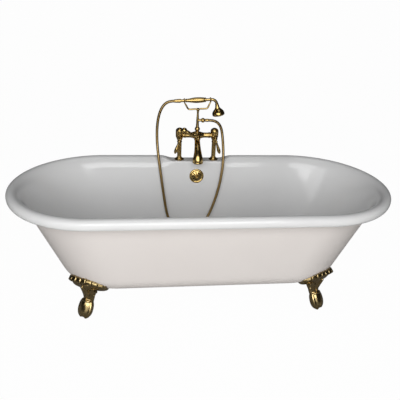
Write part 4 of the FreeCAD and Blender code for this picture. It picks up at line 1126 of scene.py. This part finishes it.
def build_levers():
    # A round hub with a button in front, and an arm that swells to a drop shape.
    for name, body, hand in (("lever_left", "hot_lever", -1), ("lever_right", "cold_lever", 1)):
        hub = deck_point(hand * TAP_X, BAR_HEIGHT - STEM_DROP, HUB_FORWARD)
        way = Vector((hand * sin(LEVER_SPLAY), 0, -cos(LEVER_SPLAY)))
        store = ([], [])
        add_ball(store, hub, HUB_RADIUS)
        add_ball(store, hub + Vector((0, -BUTTON_FORWARD, 0)), BUTTON_RADIUS)
        add_rows(store, lathe_rows(flowing(LEVER_SIZES, 4), hub, way))
        lever_piece(name, store, body)
    hub = deck_point(0.0, BAR_HEIGHT, DIVERTER_FORWARD)
    way = Vector((-sin(DIVERTER_TILT), 0, cos(DIVERTER_TILT)))
    store = ([], [])
    add_ball(store, hub, DIVERTER_HUB)
    add_ball(store, hub + Vector((0, -DIVERTER_BUTTON_FORWARD, 0)), DIVERTER_BUTTON)
    add_rows(store, lathe_rows(flowing(DIVERTER_SIZES, 4), hub, way))
    add_ball(store, hub + way * KNOB_REACH, KNOB_RADIUS)
    lever_piece("diverter_lever", store, "diverter")


# Hand shower

def handset_place(along):
    return deck_point(along * cos(HANDSET_TILT), HANDSET_HEIGHT + along * sin(HANDSET_TILT))


def build_grip():
    # A smooth spindle, fuller towards the head, with a collar at each end.
    length = GRIP_END - GRIP_START
    profile = [(length * share, radius) for share, radius in flowing(GRIP_SIZES, 5)]
    axis = handset_place(1.0) - handset_place(0.0)
    made = skin_piece("grip", lathe_rows(profile, handset_place(GRIP_START), axis, 64))
    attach(made, "handset")
    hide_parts("handset_grip")


def build_head():
    # A bell on the end of the bent neck, with a round shoulder and a rolled edge.
    axis = handset_place(1.0) - handset_place(0.0)
    lift = HANDSET_LIFT
    bend = handset_place(NECK_END) - lift * NECK_BEND
    base = bend + (lift * cos(NECK_TURN) + axis * sin(NECK_TURN)) * NECK_BEND
    way = axis * cos(NECK_TURN) - lift * sin(NECK_TURN)
    made = skin_piece("head_bell", lathe_rows(flowing(HEAD_SIZES, 5), base, way, 64))
    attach(made, "handset")
    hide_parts("shower_head")


def build_fork():
    # A bent rod with a half ring and two prongs at each end, on a spigot.
    store = ([], [])
    rise = tan(HANDSET_TILT)
    lift = HANDSET_LIFT
    deep = Vector((0, 1, 0))
    ends = []
    for along in (SADDLE_LEFT, SADDLE_RIGHT):
        centre = handset_place(along)
        ring_line = []
        for k in range(25):
            turn = pi * k / 24
            place = centre + deep * (SADDLE_REACH * cos(turn)) - lift * (SADDLE_REACH * sin(turn))
            ring_line.append((*place, SADDLE_ROD))
        add_tube(store, ring_line)
        for side in (SADDLE_REACH, -SADDLE_REACH):
            low = centre + deep * side
            add_tube(store, [(*low, SADDLE_ROD), (*(low + lift * SADDLE_PRONG), SADDLE_ROD)])
            add_ball(store, low + lift * SADDLE_PRONG, SADDLE_ROD * PRONG_BALL)
        ends.append(centre - lift * SADDLE_REACH)
    left = deck_point(FORK_LEFT, FORK_HEIGHT + FORK_LEFT * rise)
    right = deck_point(FORK_RIGHT, FORK_HEIGHT + FORK_RIGHT * rise)
    line = [ends[0]] + [ends[0].lerp(left, share) for share in FORK_LEGS]
    line += [left.lerp(right, share) for share in FORK_BASE]
    line += [ends[1].lerp(right, share) for share in FORK_LEGS[::-1]] + [ends[1]]
    thin = [SADDLE_ROD] + [FORK_ROD] * (len(line) - 2) + [SADDLE_ROD]
    add_tube(store, flowing([(*p, radius) for p, radius in zip(line, thin)], 6), 20)
    add_rows(store, lathe_rows(SPIGOT_SIZES, deck_point(0.0, FORK_HEIGHT), UP))
    made = fused("fork", store, POLISHED, FORK_VOXEL, 2)
    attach(made, "tub_assembly")
    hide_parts("cradle_fork")


# Hose

def hose_line():
    curve = bpy.data.curves.new("hose_line", "CURVE")
    curve.dimensions = "3D"
    curve.resolution_u = 48
    spline = curve.splines.new("NURBS")
    spline.points.add(len(HOSE_ROUTE) - 1)
    for point, (x, y, height) in zip(spline.points, HOSE_ROUTE):
        point.co = (x, y, DECK_Z + height, 1.0)
    spline.order_u = 3
    spline.use_endpoint_u = True
    made = bpy.data.objects.new("hose_line", curve)
    mesh = bpy.data.meshes.new_from_object(made)
    points = [Vector(v.co) for v in mesh.vertices]
    bpy.data.objects.remove(made)
    bpy.data.meshes.remove(mesh)
    bpy.data.curves.remove(curve)
    return points


def even_points(points, step):
    # Places along the line about a step apart, and the line's length.
    lengths = [0.0]
    for a, b in zip(points, points[1:]):
        lengths.append(lengths[-1] + (b - a).length)
    count = max(2, round(lengths[-1] / step))
    made = []
    k = 0
    for j in range(count + 1):
        goal = lengths[-1] * j / count
        while k < len(points) - 2 and lengths[k + 1] < goal:
            k += 1
        share = (goal - lengths[k]) / (lengths[k + 1] - lengths[k])
        made.append(points[k].lerp(points[k + 1], share))
    return made, lengths[-1]


def build_hose():
    # A tube wound from a ridged strip, with one ridge to each pitch.
    line, length = even_points(hose_line(), HOSE_PITCH / HOSE_STEPS)

    def radius(k, angle):
        share = (k / HOSE_STEPS + angle / (2 * pi)) % 1.0
        return HOSE_RADIUS - HOSE_RIDGE + HOSE_RIDGE * sin(pi * share) ** 0.6

    store = ([], [])
    add_rows(store, rings_along(line, radius, HOSE_SIDES))
    made = piece("metal_hose", *store, [HOSE_BRASS])
    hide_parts("shower_hose")
    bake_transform(made)


# Materials on the solids that stay

def dress_nodes():
    # The waste set under the tub is in a darker, duller brass than the brass on show.
    of_slot = {"enamelled_iron": ENAMEL, "brass": POLISHED, "metal_hose": HOSE_BRASS, "rubber": RUBBER,
               "steel": STEEL}
    for row in frame["record"]["subparts"]:
        mesh = frame["nodes"][row["node"]].data
        mesh.materials.clear()
        mesh.materials.append(DARK_BRASS if row["node"] in WASTE_SET else of_slot[row["material_slot"]])


# Stage

def seen_ray(tree):
    # 1 for what the camera sees, by itself or in metal and glass.
    path = node(tree, "ShaderNodeLightPath")
    seen = path.outputs["Is Camera Ray"]
    for kind in ("Is Glossy Ray", "Is Transmission Ray"):
        added = node(tree, "ShaderNodeMath", operation="ADD", use_clamp=True)
        tree.links.new(seen, added.inputs[0])
        tree.links.new(path.outputs[kind], added.inputs[1])
        seen = added.outputs[0]
    return seen


def mix(tree, share, first, second, end):
    # Sends the first shader, and the second by its share, to the tree's end.
    mixed = node(tree, "ShaderNodeMixShader")
    tree.links.new(share, mixed.inputs["Fac"])
    tree.links.new(first.outputs[0], mixed.inputs[1])
    tree.links.new(second.outputs[0], mixed.inputs[2])
    tree.links.new(mixed.outputs[0], tree.nodes[end].inputs["Surface"])


def build_stage():
    points = [(FLOOR_HALF * x, FLOOR_HALF * y, 0) for x, y in ((-1, -1), (1, -1), (1, 1), (-1, 1))]
    floor = piece("floor", points, [(0, 1, 2, 3)], [])
    made, tree, shader = material("pale_floor")
    put(shader, {"Base Color": (0.62, 0.62, 0.61, 1.0), "Roughness": 0.9})
    light = node(tree, "ShaderNodeEmission", {"Strength": 1.0})
    share = node(tree, "ShaderNodeMath", {1: FLOOR_WHITE}, operation="MULTIPLY")
    tree.links.new(seen_ray(tree), share.inputs[0])
    mix(tree, share.outputs[0], shader, light, "Material Output")
    floor.data.materials.append(made)


def build_world():
    world = bpy.data.worlds.new("studio")
    bpy.context.scene.world = world
    world.use_nodes = True
    tree = world.node_tree
    plain = tree.nodes["Background"]
    put(plain, {"Color": (0.97, 0.98, 1.0, 1.0), "Strength": WORLD_LIGHT})
    white = node(tree, "ShaderNodeBackground", {"Color": (1.0, 1.0, 1.0, 1.0), "Strength": 1.0})
    mix(tree, seen_ray(tree), plain, white, "World Output")


def build_cloths():
    for name, rows, shade in CLOTHS:
        points = []
        for radius, height in rows:
            for angle in turns(CLOTH_SIDES):
                points.append((radius * cos(angle), radius * sin(angle), height))
        made, _, shader = material(name)
        put(shader, {"Base Color": (shade, shade, shade, 1.0), "Roughness": 1.0})
        cloth = piece(name, points, skin_faces(len(rows), CLOTH_SIDES), [made])
        cloth.visible_camera = False
        cloth.visible_diffuse = False
        cloth.visible_shadow = False
        cloth.visible_transmission = False


def build_lamps():
    for name, place, size, power in LAMPS:
        data = bpy.data.lights.new(name, "AREA")
        data.shape = "RECTANGLE"
        data.size, data.size_y = size
        data.energy = power
        made = stand(name, data)
        made.location = place
        made.rotation_euler = (LAMP_AIM - Vector(place)).to_track_quat("-Z", "Y").to_euler()


def build_camera():
    data = bpy.data.cameras.new("camera")
    data.sensor_width = CAMERA_SENSOR
    data.sensor_fit = "HORIZONTAL"
    data.lens = CAMERA_FOCAL * CAMERA_SENSOR
    data.clip_end = 1000.0
    made = stand("camera", data)
    back = Vector((sin(CAMERA_AZIMUTH) * cos(CAMERA_ELEVATION),
                   -cos(CAMERA_AZIMUTH) * cos(CAMERA_ELEVATION), sin(CAMERA_ELEVATION)))
    right = (-back).cross(UP).normalized()
    up = right.cross(-back)
    turned_right = right * cos(CAMERA_ROLL) + up * sin(CAMERA_ROLL)
    turned_up = up * cos(CAMERA_ROLL) - right * sin(CAMERA_ROLL)
    turn = Matrix((turned_right, turned_up, back)).transposed()
    made.matrix_world = Matrix.Translation(CAMERA_TARGET + back * CAMERA_DISTANCE) @ turn.to_4x4()
    bpy.context.scene.camera = made


build_camera()
build_world()
build_stage()
build_cloths()
build_lamps()
dress_nodes()
build_tub()
build_plate()
build_feet()
build_tap_body()
build_risers()
build_spout()
build_levers()
build_fork()
build_head()
build_grip()
build_hose()

bpy.context.scene.view_settings.view_transform = "Standard"
bpy.context.view_layer.update()
